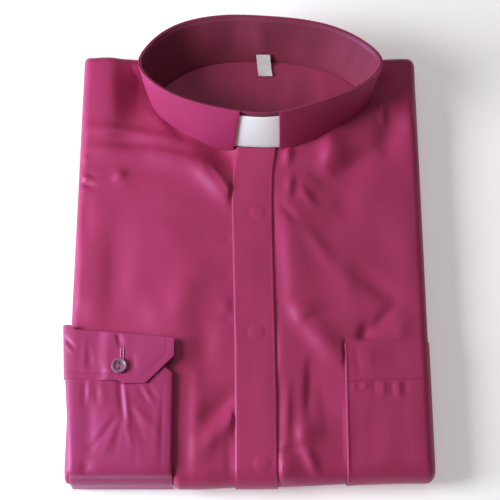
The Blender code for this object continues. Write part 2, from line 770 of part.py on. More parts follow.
def yoke_profile(way):
    """The yoke from the front of the neck, level past the back seam, then turned under."""
    level = RECESS_FLOOR + SEAM + CLOTH
    if way <= 1:
        return mix(YOKE_FRONT, YOKE_BACK, way), level
    if way <= 2:
        angle = (way - 1) * math.pi
        return (
            YOKE_BACK + YOKE_ROLL * math.sin(angle),
            level - YOKE_ROLL * (1 - math.cos(angle)),
        )
    return mix(YOKE_BACK, YOKE_END, way - 2), level - 2 * YOKE_ROLL


def make_yoke(finish, collection):
    """The back yoke: the floor of the open neck, which goes down over the pack's end."""

    def place(share, way):
        y, z = yoke_profile(way)
        left, right = neck_span(y)
        inset = 2 * SEAM + YOKE_NARROWING * smooth_step(*YOKE_NARROW_FROM, y)
        wave = YOKE_WAVE * (math.sin(3 * math.pi * share) * math.sin(math.pi * min(way, 1))) ** 2
        return Vector((mix(left + inset, right - inset, share), y, z + wave))

    grid = sheet(steps((0, 1), (12,)), steps((0, 1, 2, 3), (9, 5, 1)), place)
    piece = place_object("back_yoke", grid, finish, collection)
    thicken(piece, CLOTH)
    return piece


def make_label(finish, collection):
    """The size label, blank: sewn in the neckband's seam and lying on the yoke."""
    top = band_point(0.5, LABEL_FROM, NECKBAND_WAY + CLOTH)
    seam_y = band_point(0.5, 0.0, NECKBAND_WAY + CLOTH).y
    lying = RECESS_FLOOR + CLOTH + 2 * SEAM + LABEL_SHEET + YOKE_WAVE / 2
    route = [(top.y - CLOTH, top.z)]
    route += [(seam_y - way * MM, lying + height * MM) for way, height in LABEL_ROUTE]

    def place(x, index):
        y, z = route[round(index)]
        return Vector((LABEL_CENTRE + x - LABEL_SLANT * (y - seam_y), y, z))

    across = steps((LABEL_HALF, -LABEL_HALF), (2,))
    grid = sheet(across, steps((0, 4), (4,)), place)
    piece = place_object("size_label", grid, finish, collection)
    thicken(piece, LABEL_SHEET)
    return piece


def stand_on_its_box(collections):
    """Move everything so that the middle of the underside of its box is the origin."""
    bpy.context.view_layer.update()
    graph = bpy.context.evaluated_depsgraph_get()
    corners = []
    for piece in collections[0].objects:
        shown = piece.evaluated_get(graph)
        mesh = shown.to_mesh()
        corners += [shown.matrix_world @ vert.co for vert in mesh.vertices]
        shown.to_mesh_clear()
    low = Vector([min(point[axis] for point in corners) for axis in range(3)])
    high = Vector([max(point[axis] for point in corners) for axis in range(3)])
    shift = Vector((-(low.x + high.x) / 2, -(low.y + high.y) / 2, -low.z))
    for collection in collections:
        for piece in collection.objects:
            piece.location += shift
    print("moved by mm", [round(value / MM, 3) for value in shift])
    print("box in mm", [round(value / MM, 2) for value in high - low])


def main():
    for old in list(bpy.data.objects):
        bpy.data.objects.remove(old)
    shirt = bpy.data.collections.new("clergy_shirt")
    cutters = bpy.data.collections.new("cutters")
    for collection in (shirt, cutters):
        bpy.context.scene.collection.children.link(collection)

    cloth = material("shirt_cloth", MAGENTA, 0.7)
    shaded = material("shirt_cloth_inside", DEEP_MAGENTA, 0.75)
    plastic = material("tab_plastic", WHITE, 0.4)
    ribbon = material("label_ribbon", WHITE, 0.8)
    button = material("button_plastic", BUTTON_COLOUR, 0.35)

    core_cutter = make_neck_cutter("core_cutter", RECESS_FLOOR, cutters, cloth)
    front_cutter = make_neck_cutter("front_cutter", FLOOR_UNDER_FRONTS, cutters, cloth)
    cut(make_folded_layers(shaded, shirt), core_cutter)
    cut(make_front("front_right", -1, cloth, shirt), front_cutter)
    cut(make_front("front_left", 1, cloth, shirt), front_cutter)
    cut(make_placket(cloth, shirt), front_cutter)
    make_pocket(cloth, shirt)
    make_sleeve(cloth, shirt)
    make_cuff(cloth, shirt)
    make_button(button, shirt, cutters, cloth)
    make_yoke(shaded, shirt)
    make_neckband(shaded, shirt)
    make_collar_band(cloth, shirt)
    make_collar_tab(plastic, shirt)
    make_label(ribbon, shirt)
    stand_on_its_box((shirt, cutters))


main()
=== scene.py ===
# %% [markdown]
# # A clergy shirt, folded for the shelf
# The real shirt is sewn from thin poly-cotton, pressed, and folded so that its front lies on top,
# its collar stands, and one cuffed sleeve comes round the lower fold on to the chest. The packed
# CAD model gives every piece's place. This lesson lays finer cloth over it, piece by piece, in the
# same frame: metres, Z up, +Y towards the collar.
# %% The frame
import math
from collections import namedtuple

import bmesh
import bpy
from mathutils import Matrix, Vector, noise


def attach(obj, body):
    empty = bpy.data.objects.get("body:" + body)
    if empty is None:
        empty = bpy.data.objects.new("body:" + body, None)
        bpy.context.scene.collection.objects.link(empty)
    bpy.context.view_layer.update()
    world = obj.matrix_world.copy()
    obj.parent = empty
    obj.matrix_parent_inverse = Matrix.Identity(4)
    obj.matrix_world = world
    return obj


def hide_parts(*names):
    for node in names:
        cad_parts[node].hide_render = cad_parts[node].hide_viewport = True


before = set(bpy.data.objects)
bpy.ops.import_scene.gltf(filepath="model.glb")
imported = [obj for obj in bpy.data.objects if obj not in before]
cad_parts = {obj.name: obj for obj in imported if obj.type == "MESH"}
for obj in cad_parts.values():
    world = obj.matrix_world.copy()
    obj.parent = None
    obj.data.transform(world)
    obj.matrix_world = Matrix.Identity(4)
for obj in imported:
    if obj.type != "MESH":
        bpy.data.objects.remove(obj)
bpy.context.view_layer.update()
MM = 0.001

# %% [markdown]
# ## The camera
# The photo looks down on the shirt from the front, about 68 degrees up. A long lens keeps the
# pack's sides nearly parallel, as they are there.
# %% The camera
AIM = Vector((-0.17, -2.55, 20)) * MM
RISE, FAR_OFF = math.radians(68), 1.0    # how steeply, and from how many metres away
camera_data = bpy.data.cameras.new("photo_camera")
camera_data.sensor_width = 36
camera_data.lens = 100.8
camera = bpy.data.objects.new("photo_camera", camera_data)
camera.location = AIM + Vector((0, -math.cos(RISE), math.sin(RISE))) * FAR_OFF
camera.rotation_euler = (math.pi / 2 - RISE, 0, 0)
bpy.context.scene.collection.objects.link(camera)
bpy.context.scene.camera = camera
print("camera at", [round(value, 3) for value in camera.location])

# %% [markdown]
# ## Light and floor
# Window light comes from the left and fairly low, so soft folds show as bands of light and dark.
# A small bluish light, lower still, reaches only cloth that faces left, and turns it violet there.
# A weak sheet of light overhead keeps the right side from going black. The white paper under the
# shirt glows a little, so that it reads as the bright backdrop of a shop's photo.


# %% Light and floor
def add_light(name, place, size, power, colour):
    lamp = bpy.data.lights.new(name, "AREA")
    lamp.size = size
    lamp.energy = power
    lamp.color = colour
    light = bpy.data.objects.new(name, lamp)
    light.location = place
    light.rotation_euler = (AIM - Vector(place)).to_track_quat("-Z", "Y").to_euler()
    bpy.context.scene.collection.objects.link(light)


add_light("window", (-1.0, -0.14, 0.64), 0.55, 16.8, (1.0, 0.98, 0.97))
add_light("low_sky", (-0.72, -0.10, 0.17), 0.35, 4.6, (0.22, 0.52, 1.0))
add_light("ceiling", (0.15, 0.55, 1.6), 1.4, 2.8, (1.0, 0.93, 0.90))
bpy.context.scene.view_settings.view_transform = "Standard"

world = bpy.data.worlds.new("studio")
world.use_nodes = True
world.node_tree.nodes["Background"].inputs["Color"].default_value = (1.0, 0.93, 0.93, 1)
world.node_tree.nodes["Background"].inputs["Strength"].default_value = 0.17
bpy.context.scene.world = world


def to_object(name, shape):
    """Turn a finished bmesh into an object of the scene."""
    mesh = bpy.data.meshes.new(name)
    shape.to_mesh(mesh)
    shape.free()
    item = bpy.data.objects.new(name, mesh)
    bpy.context.scene.collection.objects.link(item)
    return item


def new_finish(name, sockets):
    """A material, with these values on its Principled shader's own sockets."""
    finish = bpy.data.materials.new(name)
    finish.use_nodes = True
    shader = finish.node_tree.nodes["Principled BSDF"]
    for socket, value in sockets.items():
        shader.inputs[socket].default_value = value
    return finish, finish.node_tree, shader


def make_floor():
    floor = bmesh.new()
    bmesh.ops.create_grid(floor, x_segments=1, y_segments=1, size=3)
    sheet_of_paper = to_object("floor", floor)
    paper, _, _ = new_finish("white_paper", {
        "Base Color": (0.93, 0.93, 0.93, 1), "Roughness": 0.9,
        "Emission Color": (1, 1, 1, 1), "Emission Strength": 0.28,
    })
    sheet_of_paper.data.materials.append(paper)
    sheet_of_paper.location.z = -0.5 * MM
    print("floor", round(sheet_of_paper.dimensions.x, 2), "m wide")


make_floor()

# %% [markdown]
# ## Shirting
# Poly-cotton shirting is a plain weave of fine threads with a slight gloss. The threads are a
# bump from two sets of bands, one along each direction of the cloth's own UV map, which holds
# the place on the flat cloth in metres. A sheen layer gives the pale, bluish bloom where light
# grazes it, and slow noise shifts the dye a little. The sleeve and its cuff get more sheen, and
# their bluer dye is painted violet sheen. The darker dye of the cloth inside the neck is painted
# shade.


# %% Shirting
def add_node(tree, kind, inputs=None, **settings):
    node = tree.nodes.new(kind)
    for name, value in settings.items():
        setattr(node, name, value)
    for name, value in (inputs or {}).items():
        node.inputs[name].default_value = value
    return node


def colour_by(tree, shader, pattern, dark, light, span=(0, 1)):
    """Run the base colour from dark to light over a span of the pattern's values."""
    ramp = add_node(tree, "ShaderNodeValToRGB")
    for stop, place, colour in zip(ramp.color_ramp.elements, span, (dark, light)):
        stop.position = place
        stop.color = (*colour, 1)
    tree.links.new(pattern, ramp.inputs["Fac"])
    tree.links.new(ramp.outputs["Color"], shader.inputs["Base Color"])


def raise_by(tree, shader, pattern, strength, height):
    bump = add_node(tree, "ShaderNodeBump", {"Strength": strength, "Distance": height})
    tree.links.new(pattern, bump.inputs["Height"])
    tree.links.new(bump.outputs["Normal"], shader.inputs["Normal"])


def cloudy(tree, scale, detail):
    """Noise on the object's own coordinates."""
    place = add_node(tree, "ShaderNodeTexCoord")
    clouds = add_node(tree, "ShaderNodeTexNoise", {"Scale": scale, "Detail": detail})
    tree.links.new(place.outputs["Object"], clouds.inputs["Vector"])
    return clouds.outputs["Fac"]


def shirting(name, light_dye, dark_dye, sheen):
    cloth, tree, shader = new_finish(name, {
        "Roughness": 0.46, "Specular IOR Level": 0.46, "Specular Tint": (0.72, 0.62, 1.0, 1),
        "Sheen Weight": sheen, "Sheen Roughness": 0.40, "Sheen Tint": (0.62, 0.42, 1.0, 1),
    })
    colour_by(tree, shader, cloudy(tree, 22, 3), dark_dye, light_dye, (0.32, 0.70))
    threads = add_node(tree, "ShaderNodeUVMap", uv_map="threads")
    weave = add_node(tree, "ShaderNodeMath", operation="MULTIPLY")
    fine = {"Scale": 900, "Distortion": 0.6, "Detail": 1}
    for index, direction in enumerate("XY"):
        bands = add_node(tree, "ShaderNodeTexWave", fine, bands_direction=direction)
        tree.links.new(threads.outputs["UV"], bands.inputs["Vector"])
        tree.links.new(bands.outputs["Fac"], weave.inputs[index])
    raise_by(tree, shader, weave.outputs["Value"], 0.12, 0.1 * MM)
    return cloth


magenta = shirting("magenta_shirting", (0.420, 0.036, 0.117), (0.375, 0.030, 0.098), 0.06)
# The sleeve's and cuff's higher sheen weight is the shader's own, but their bluer dye is painted violet
# sheen.
pressed = shirting("pressed_shirting_painted_sheen", (0.410, 0.042, 0.148), (0.352, 0.029, 0.102), 0.12)
# The darker dye of the cloth inside the neck is painted shade for the inside of the collar.
inner = shirting("inner_shirting_painted_shade", (0.280, 0.045, 0.088), (0.236, 0.038, 0.072), 0.05)
lining = shirting("lining_shirting", (0.380, 0.044, 0.108), (0.325, 0.036, 0.090), 0.05)
thread = shirting("sewing_thread", (0.46, 0.055, 0.160), (0.42, 0.048, 0.145), 0.15)
# The buttonhole thread's pale dye is a painted highlight on its worked edge.
painted_highlight_thread = shirting("buttonhole_thread_painted_highlight", (0.62, 0.19, 0.34), (0.56, 0.15, 0.29), 0.15)
print("finishes", [finish.name for finish in bpy.data.materials])

# %% [markdown]
# ## Cloth laid on the pack
# One function, `lay`, takes a place on the flat cloth and a lift out of it, and gives the point
# in space, round the rolled edges too. It repeats the CAD part's own sizes, so whatever is made
# with it lies where the CAD piece lies. The creases that the photo shows are a table of lines.
# Each has a width on either side of it, because a real fold leans over.


# %% Cloth laid on the pack
def mm(*values):
    """These millimetres in metres."""
    return tuple(value * MM for value in values)


SHIFT = Vector((-0.633, -9.511, 0)) * MM    # from the pack's middle to the part's origin
HALF_WIDTH, HALF_LENGTH = mm(124.5, 163)
EDGE_HEIGHT, CROWN = mm(25, 3)
SIDE_ROLL, HEM_ROLL = mm(7, 12.2)
CLOTH, SEAM, LAID = mm(1.2, 0.3, 0.45)
INNER_X, INNER_TOP, INNER_HEM = HALF_WIDTH - SIDE_ROLL, HALF_LENGTH - SIDE_ROLL, HALF_LENGTH - HEM_ROLL
# the CAD's folds turn in steps, of 33 degrees at a side and 30 at the lower end
SIDE_STEP, HEM_STEP = math.radians(33) * SIDE_ROLL, math.radians(30) * HEM_ROLL
ROUND, ROUND_HEM = 5 * SIDE_STEP, 5 * HEM_STEP      # cloth that goes round the whole fold
# how square each corner is: 2 is a quarter circle, and more is squarer
CORNERS = {(1, 1): 2.2, (-1, 1): 5.0, (1, -1): 3.0, (-1, -1): 7.0}

Crease = namedtuple("Crease", "x1 y1 x2 y2 left right height")    # all in millimetres


def table(kind, *rows):
    return [kind(*row) for row in rows]


FRONT_CREASES = table(
    Crease,
    (-105, 177, -101, 102, 8, 18, 3.6), (-65, 190, -87, 97, 17, 13.5, -6.6),
    (-119, 101, -80, 98, 4, 5, 2.2), (-89, 99, -43, 87, 5, 6, 2.6), (-117, 85, -73, 82, 4, 8, 2.2),
    (-76, 83, -36, 71, 6, 9, 3.4), (-40, 74, -10, 42, 9, 8, 4.8), (-29, 94, -8, 68, 9, 11, -4.8),
    (-28, 70, -13, 48, 1.8, 1.8, 1.5), (-75, 131, -49, 96, 6, 4.5, -3.8),
    (-124, 59, -112, 54, 1.8, 1.8, -2.0), (-123, 62, -114, 61, 1.6, 1.8, 1.1),
    (-119, 65, -111, 62, 2, 2, -1.0), (-96, 67, -92, 59, 5, 5, 2.4), (-122, 78, -118, 76, 2, 2, 0.8),
    (-109, 68, -58, 66, 6, 6, -0.8), (-95, 26, -95, -50, 15, 9, -2.6), (-119, 51, -118, 13, 6, 5, -1.3),
    (-120, -32, -120, -53, 8, 5, -1.4), (-58, 34, -51, 4, 14, 14, 0.8),
    (-40, -14, -56, -57, 13, 12, 3.5), (-69, -31, -63, -56, 8, 9, 1.4),
    (-19, 12, -12, 12, 2.2, 2.5, -0.7), (-19, -16, -12, -15, 2.2, 2.5, -0.7),
    (-18, -47, -11, -47, 2.2, 2.5, -0.9), (-21, -36, -14, -40, 4.5, 4, 1.0),
    (-31, -50, -32, -86, 8, 9, -2.0), (-77, -5, -85, -31, 8, 8, 0.8),
    (-36, -86, -37, -163, 6, 3.5, 1.3), (-8, -100, -32, -123, 6, 8, -3.2),
    (-8, -111, -20, -132, 5, 5, 2.2), (-22, -121, -30, -142, 5, 7, 2.2),
    (-14, -134, -12, -165, 2.5, 3, -0.8), (-28, -149, -29, -166, 6, 6, 0.8),
    (29, 86, 27, 72, 3.5, 3, 2.4), (30, 62, 28, 47, 3.5, 3, 1.4), (35, 59, 32, 43, 3, 3, -0.8),
    (37, 52, 46, 39, 3.5, 3, 1.3), (23, 39, 33, 26, 3, 3, -1.3), (61, 98, 57, 70, 12, 6.5, 5.0),
    (98, 128, 99, 106, 3, 2.5, 1.6), (115, 121, 119, 98, 7, 7, 2.4), (107, 125, 100, 78, 8, 9, -3.6),
    (94, 85, 50, 51, 12, 9, -4.4), (74, 51, 61, 31, 10, 9, -1.6), (41, 66, 60, 62, 5, 5, -1.2),
    (27, 38, 31, -34, 16, 7, 3.4), (31, -34, 39, -51, 13, 6.5, 2.8), (39, -51, 65, -80, 10, 7, 3.4),
    (40, 20, 60, -10, 6, 5, 1.5), (65, -5, 72, -35, 7, 7, 1.1), (78, -13, 107, -36, 8, 7, -2.0),
    (101, -38, 81, -60, 5, 4.5, -2.2), (82, -50, 77, -65, 4, 4, -2.6), (106, -50, 103, -61, 6, 5, 1.0),
    (111, 35, 114, -26, 7, 9, 0.8), (88, 23, 96, -7, 12, 10, -0.8), (22, -48, 22, -90, 10, 3, 1.2),
    (42, -79, 40, -116, 8, 3, -2.4), (26, -94, 25, -138, 3, 4, 1.7), (36, -121, 36, -138, 9, 4, 2.6),
    (21, -140, 36, -140, 1.2, 3.5, -1.5), (23, -139, 22, -168, 10, 3, 3.2),
    (37, -140, 45, -158, 4, 3, 2.2), (67, -94, 66, -172, 6, 22, -2.3), (50, -90, 53, -125, 12, 5, -1.8),
)


def smooth_step(start, end, value):
    """0 up to the start, 1 from the end on, and a soft rise between them."""
    share = min(max((value - start) / (end - start), 0), 1)
    return share * share * (3 - 2 * share)


def rise(start, end, value):
    """The same between two places given in millimetres."""
    return smooth_step(start * MM, end * MM, value)


def bell(away, width):
    """1 in the middle, and next to nothing a few widths away."""
    return math.exp(-(away / width) ** 2)


def mix(first, second, share):
    return first + (second - first) * share


ENDS_KEEP, REACH = 0.35, 3    # of a crease's height at its ends, and of its width to either side


def creased(creases, x, y):
    """The height of all these creases, in metres, at a place given in millimetres."""
    total = 0.0
    for crease in creases:
        run_x, run_y = crease.x2 - crease.x1, crease.y2 - crease.y1
        off_x, off_y = x - crease.x1, y - crease.y1
        length = run_x * run_x + run_y * run_y
        along = min(max((off_x * run_x + off_y * run_y) / length, 0), 1)
        away = math.hypot(off_x - run_x * along, off_y - run_y * along) + 1e-6
        aside = (run_x * off_y - run_y * off_x) / (away * math.sqrt(length))
        width = mix(crease.right, crease.left, smooth_step(-1, 1, aside))
        if away < REACH * width:
            taper = mix(ENDS_KEEP, 1, math.sin(math.pi * along))
            total += crease.height * taper * bell(away, width)
    return total * MM


def ripple(x, y, size, height):
    """Slow unevenness: cloth is never quite flat. Its size and height are in millimetres."""
    size = size * MM
    return height * MM * noise.noise(Vector((x / size, y / size, 3.7)))


def uneven(creases, x, y, size, height):
    """These creases, and slow unevenness with them."""
    return creased(creases, x / MM, y / MM) + ripple(x, y, size, height)


def nape_dip(x, y):
    """How much lower the pack lies at the back of the neck."""
    neck = mix(80 * MM, 57 * MM, rise(135, 160, y))
    beside = max(abs(x - 8 * MM) - neck, 0) / (24 * MM)
    return 7 * MM * rise(112, 148, y) * math.exp(-beside * beside)


def pack_height(x, y):
    crown = CROWN * (1 - (x / HALF_WIDTH) ** 2) * (1 - (y / HALF_LENGTH) ** 2)
    return EDGE_HEIGHT + crown - nape_dip(x, y)


def fold_angles(p, q):
    """How far a place has gone round the side's fold and round its end's."""
    end_roll, inner_y = (HEM_ROLL, INNER_HEM) if q < 0 else (SIDE_ROLL, INNER_TOP)
    return max(abs(p) - INNER_X, 0) / SIDE_ROLL, max(abs(q) - inner_y, 0) / end_roll, end_roll, inner_y


def corner_share(p, q, side, end):
    """Which way a place at a corner goes out: its part across and its part along."""
    turn = max(side, end)
    if turn == 0:
        return 1.0, 0.0
    angle = math.pi / 4 * min(side, end) / turn
    if end > side:
        angle = math.pi / 2 - angle
    square = CORNERS[1 if p > 0 else -1, -1 if q < 0 else 1]
    return math.cos(angle) ** (2 / square), math.sin(angle) ** (2 / square)


def settle(x, y, z):
    """The lower end is short below the pocket and under the sleeve, and long between them."""
    short = 0.4 + 3.9 * rise(5, 110, x)
    short += 3.9 * rise(-47, -53, x) - 1.4 * rise(-5, -36, x)
    return Vector((x, y + short * MM * rise(-50, -150, y), z)) + SHIFT


def lay(p, q, lift=0.0):
    """The point of the pack at p across and q along, raised out of the cloth by lift."""
    side, end, end_roll, inner_y = fold_angles(p, q)
    turn = max(side, end)
    across, along = corner_share(p, q, side, end)
    x = math.copysign(min(abs(p), INNER_X), p)
    y = math.copysign(min(abs(q), inner_y), q)
    if q > 0:
        end_roll -= nape_dip(x, y) / 2
    roll = mix(SIDE_ROLL, end_roll, along * along)
    z = pack_height(x, y) - roll + (roll + lift) * math.cos(turn)
    x += math.copysign((SIDE_ROLL + lift) * math.sin(turn) * across, p)
    y += math.copysign((end_roll + lift) * math.sin(turn) * along, q)
    return settle(x, y, z)


def round_fade(p, q):
    """Creases die out as the cloth goes round a fold."""
    side, end, _, _ = fold_angles(p, q)
    return max(math.cos(min(max(side, end), math.pi / 2)), 0) ** 2


print("a corner of the chest", [round(value, 4) for value in lay(0.1, 0.1)])

# %% [markdown]
# ## From a flat grid to a piece of cloth
# A piece of cloth starts as a grid operator's flat sheet. Each point then moves to its place on
# the pack, and its flat place is kept as its UV, so the weave follows the cloth. The sheet gets
# its thickness from Solidify, and the result is kept as plain mesh.


# %% From a flat grid to a piece of cloth
def steps(stops, counts):
    """Values from the first stop to the last, in this many even steps between two stops."""
    values = [stops[0]]
    for start, end, count in zip(stops, stops[1:], counts):
        values += [mix(start, end, (index + 1) / count) for index in range(count)]
    return values


def cloth_grid(across, along, place, size=(1, 1)):
    """A grid with one point for each pair of values, moved to where place puts the pair."""
    cloth = bmesh.new()
    columns, rows = len(across) - 1, len(along) - 1
    bmesh.ops.create_grid(cloth, x_segments=columns, y_segments=rows, size=0.5)
    threads = cloth.loops.layers.uv.new("threads")
    spots = {}
    for vert in cloth.verts:
        u = across[round((vert.co.x + 0.5) * columns)]
        v = along[round((vert.co.y + 0.5) * rows)]
        spots[vert] = (u * size[0], v * size[1])
        vert.co = place(u, v)
    for face in cloth.faces:
        for loop in face.loops:
            loop[threads].uv = spots[loop.vert]
    return cloth


def make_piece(name, shape, finish):
    piece = to_object(name, shape)
    piece.data.materials.append(finish)
    piece.data.shade_smooth()
    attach(piece, "root")
    return piece


def thicken(piece, wall, rounding=0.0):
    solid = piece.modifiers.new("Wall", "SOLIDIFY")
    solid.thickness = wall
    solid.offset = -1
    solid.use_even_offset = True
    if rounding:
        edge = piece.modifiers.new("Edge", "BEVEL")
        edge.width = rounding
        edge.segments = 2
        edge.limit_method = "ANGLE"
        edge.angle_limit = math.radians(60)


def keep_shape(piece, sharp=40):
    """Turn the modifiers' result into the piece's own mesh."""
    graph = bpy.context.evaluated_depsgraph_get()
    mesh = bpy.data.meshes.new_from_object(piece.evaluated_get(graph))
    piece.modifiers.clear()
    old = piece.data
    piece.data = mesh
    bpy.data.meshes.remove(old)
    mesh.name = piece.name
    mesh.set_sharp_from_angle(angle=math.radians(sharp))
    print(piece.name, len(mesh.polygons), "faces")


def turn_over(piece):
    shape = bmesh.new()
    shape.from_mesh(piece.data)
    bmesh.ops.reverse_faces(shape, faces=shape.faces[:])
    shape.to_mesh(piece.data)
    shape.free()


# %% [markdown]
# ## Where the collar stands
# The collar is a ring of stations, each with a point on its seam and one on its top edge. A
# smooth curve runs through them. The fronts are cut where the ring meets them, so the ring
# comes before them.
# %% Where the collar stands
Station = namedtuple("Station", "seam top")
COLLAR = table(
    Station,
    ((7, 83.0, 28.0), (7, 93.8, 62.0)), ((31, 84.6, 27.8), (33, 98.6, 61.4)),
    ((58, 96.4, 26.0), (61, 109.0, 60.0)), ((76, 109, 24.2), (77, 116.7, 58.9)),
    ((86, 120, 22.6), (89.5, 126, 57.5)), ((89, 132, 20.6), (98, 139, 55.6)),
    ((82, 143, 18.6), (92, 152.5, 53.6)), ((64, 157, 16.6), (73, 168.3, 51.3)),
    ((36, 164.5, 15.8), (45, 179, 49.8)), ((8, 166.5, 15.6), (5, 183.5, 49.0)),
    ((-20, 166, 15.6), (-22, 183.7, 49.0)), ((-46, 159, 16.2), (-48, 177.8, 49.9)),
    ((-64, 147, 17.9), (-66, 166.5, 51.6)), ((-73, 135, 19.9), (-77, 152.2, 53.7)),
    ((-73, 123, 22.0), (-81.5, 139.5, 55.5)),
    ((-66, 112, 23.8), (-74.5, 126, 57.5)), ((-53, 101, 25.4), (-58.5, 113, 59.4)),
    ((-30, 87.2, 27.4), (-33, 102.2, 60.8)),
)
COLLAR_ROUND = 0.46     # metres along the top edge
FINE_STEPS, FARTHEST = 60, 0.15     # for measuring along the seam, in turns from the front
TAB_HALF, TAB_TUCK, TAB_SHEET = mm(15, 9, 0.8)
TAB_WAY = CLOTH + LAID
NECKBAND_WAY = TAB_WAY + TAB_SHEET + SEAM


def ring_curve(turn, height):
    count = len(COLLAR)
    place = turn % 1 * count
    first = int(place)
    share = place - first
    near = (COLLAR[(first + step) % count] for step in (-1, 0, 1, 2))
    before, start, end, after = (
        Vector(station.seam).lerp(Vector(station.top), height) * MM for station in near
    )
    return 0.5 * (
        2 * start + (end - before) * share
        + (2 * before - 5 * start + 4 * end - after) * share ** 2
        + (3 * start - before - 3 * end + after) * share ** 3
    )


def ring_point(turn, height):
    """The curve through the stations, eased so that no station shows as a corner."""
    return 0.4 * ring_curve(turn, height) + 0.3 * (
        ring_curve(turn - 0.022, height) + ring_curve(turn + 0.022, height)
    )


def band_point(turn, height, inward=0.0):
    """A point inward of the collar's outer face, in the part's frame."""
    round_it = ring_point(turn + 0.004, height) - ring_point(turn - 0.004, height)
    up_it = ring_point(turn, 1) - ring_point(turn, 0)
    outward = round_it.cross(up_it).normalized()
    bow = 0.8 * MM * (1 - (2 * height - 1) ** 2)
    return ring_point(turn, height) + outward * (bow - inward) + SHIFT


def front_turn(distance):
    """The turn at this distance along the seam from the middle of the front."""
    reach = 0.0
    last = ring_point(0, 0)
    for index in range(FINE_STEPS):
        turn = math.copysign((index + 1) / FINE_STEPS * FARTHEST, distance)
        point = ring_point(turn, 0)
        reach += (point - last).length
        if reach >= abs(distance):
            return turn
        last = point
    return turn


def make_neck_cutter():
    """The space inside the collar, open through the pack's end."""
    levels = [(0, 5 * MM), (0, None), (0.35, None), (0.7, None), (1, None), (1, 90 * MM)]

    def place(turn, level):
        height, fixed = levels[level]
        point = band_point(turn, height, 0.5 * MM)
        opened = rise(157, 161, ring_point(turn, 0).y)
        point.y = mix(point.y, 193 * MM, opened)
        if fixed is not None:
            point.z = fixed
        return point

    shape = cloth_grid(steps((0, 1), (108,)), range(len(levels)), place)
    bmesh.ops.remove_doubles(shape, verts=shape.verts[:], dist=0.001 * MM)
    bmesh.ops.holes_fill(shape, edges=shape.edges[:], sides=0)
    bmesh.ops.recalc_face_normals(shape, faces=shape.faces[:])
    return to_object("neck_cutter", shape)


def cut_neck(piece, cutter):
    opening = piece.modifiers.new("Neck", "BOOLEAN")
    opening.operation = "DIFFERENCE"
    opening.solver = "EXACT"
    opening.object = cutter


neck_cutter = make_neck_cutter()
print("gap in the collar, in turns", round(front_turn(-TAB_HALF), 4), round(front_turn(TAB_HALF), 4))

# %% [markdown]
# ## The two fronts
# Each front runs from under the placket over the chest and round its side's fold. Its creases
# are held flat under the placket and the pocket, which are sewn through it, but a trough runs on
# a little way under their edges. Fine rows round the folds keep them round, and elsewhere cells
# of 1.5 by 2 mm are enough for the folds in the photo.
# %% The two fronts
PLACKET = ((92, -9.0, 21.0), (81, -9.3, 19.6), (65, -11.9, 17.6), (44, -12.7, 16.9),
           (5, -11.9, 17.3), (-70, -10.1, 18.6), (-107, -9.8, 19.2), (-190, -9.3, 19.6))
POCKET_LEFT, POCKET_TOP = 65.6 * MM, mm(-65.8, -63.2)
SHELL = 0.6 * MM          # how thick the fronts, the placket and the pocket are made here
DEEPEST = -5.2 * MM       # no trough reaches the layers below
UNDER_REACH, UNDER_SINK = mm(2.4, 1.9)    # how far a trough runs on under a sewn edge


def placket_edges(q):
    """The placket's left and right edge at this place along it."""
    place = q / MM
    for start, end in zip(PLACKET, PLACKET[1:]):
        if place >= end[0]:
            break
    share = min(max((start[0] - place) / (start[0] - end[0]), 0), 1)
    return mix(start[1], end[1], share) * MM, mix(start[2], end[2], share) * MM


def free_share(p, q, under):
    """0 where the front is held by the placket or the pocket, 1 where it is free to crease."""
    left, right = placket_edges(q)
    held = min(
        max(left - p + under, p - right + under, 0),
        max(POCKET_LEFT - p + under, q - POCKET_TOP[1], 0),
    )
    freed = mix(3.2 * MM, 1.5 * MM, rise(50, 62, abs(q)))
    return smooth_step(0.2 * MM, freed, held)


def front_lift(p, q):
    height = creased(FRONT_CREASES, p / MM, q / MM)
    height += ripple(p, q, 42, 0.8) + ripple(p, q, 15, 0.2)
    height = max(height, DEEPEST)
    free = free_share(p, q, 0)
    lift = height * free
    if height < 0:
        lift += max(height, -UNDER_SINK) * (free_share(p, q, UNDER_REACH) - free)
    return lift * round_fade(p, q)


def make_front(name, node, outer):
    far, fold = outer * (INNER_X + ROUND), outer * INNER_X
    across = steps((far, fold, 4 * MM + outer * 0.1 * MM), (16, 76))
    if outer > 0:
        across.reverse()
    along = steps((-INNER_HEM - ROUND_HEM, -INNER_HEM, INNER_TOP, INNER_TOP + ROUND), (20, 160, 16))
    shape = cloth_grid(across, along, lambda p, q: lay(p, q, front_lift(p, q)))
    piece = make_piece(name, shape, magenta)
    thicken(piece, SHELL)
    cut_neck(piece, neck_cutter)
    keep_shape(piece)
    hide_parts(node)
    return piece


make_front("front_right_cloth", "front_right", -1)
make_front("front_left_cloth", "front_left", 1)

# %% [markdown]
# ## The layers under the fronts
# Under the fronts lie the back, the other sleeve and the tails, folded to the same size. Only
# their edges and the underside show. One closed skin has three folds running round its edge,
# each a little uneven, and a flat underside where the pack rests.
# %% The layers under the fronts
Row = namedtuple("Row", "side_out side_z hem_out hem_z")
LAYER_EDGE = table(
    Row,
    (0.4, 12.6, 4.4, 3.9), (0.5, 10.9, 4.3, 3.7), (4.2, 10.4, 4.2, 3.4), (6.2, 9.4, 4.1, 3.1),
    (6.7, 8.0, 4.0, 2.8), (6.1, 6.6, 3.9, 2.5), (4.4, 5.8, 3.8, 2.2), (2.8, 5.4, 3.7, 1.9),
    (4.6, 5.0, 3.6, 1.6), (6.5, 4.1, 3.4, 1.2), (6.9, 2.7, 3.2, 0.9), (6.2, 1.0, 2.8, 0.4),
    (4.8, 0.0, 2.0, 0.0),
)


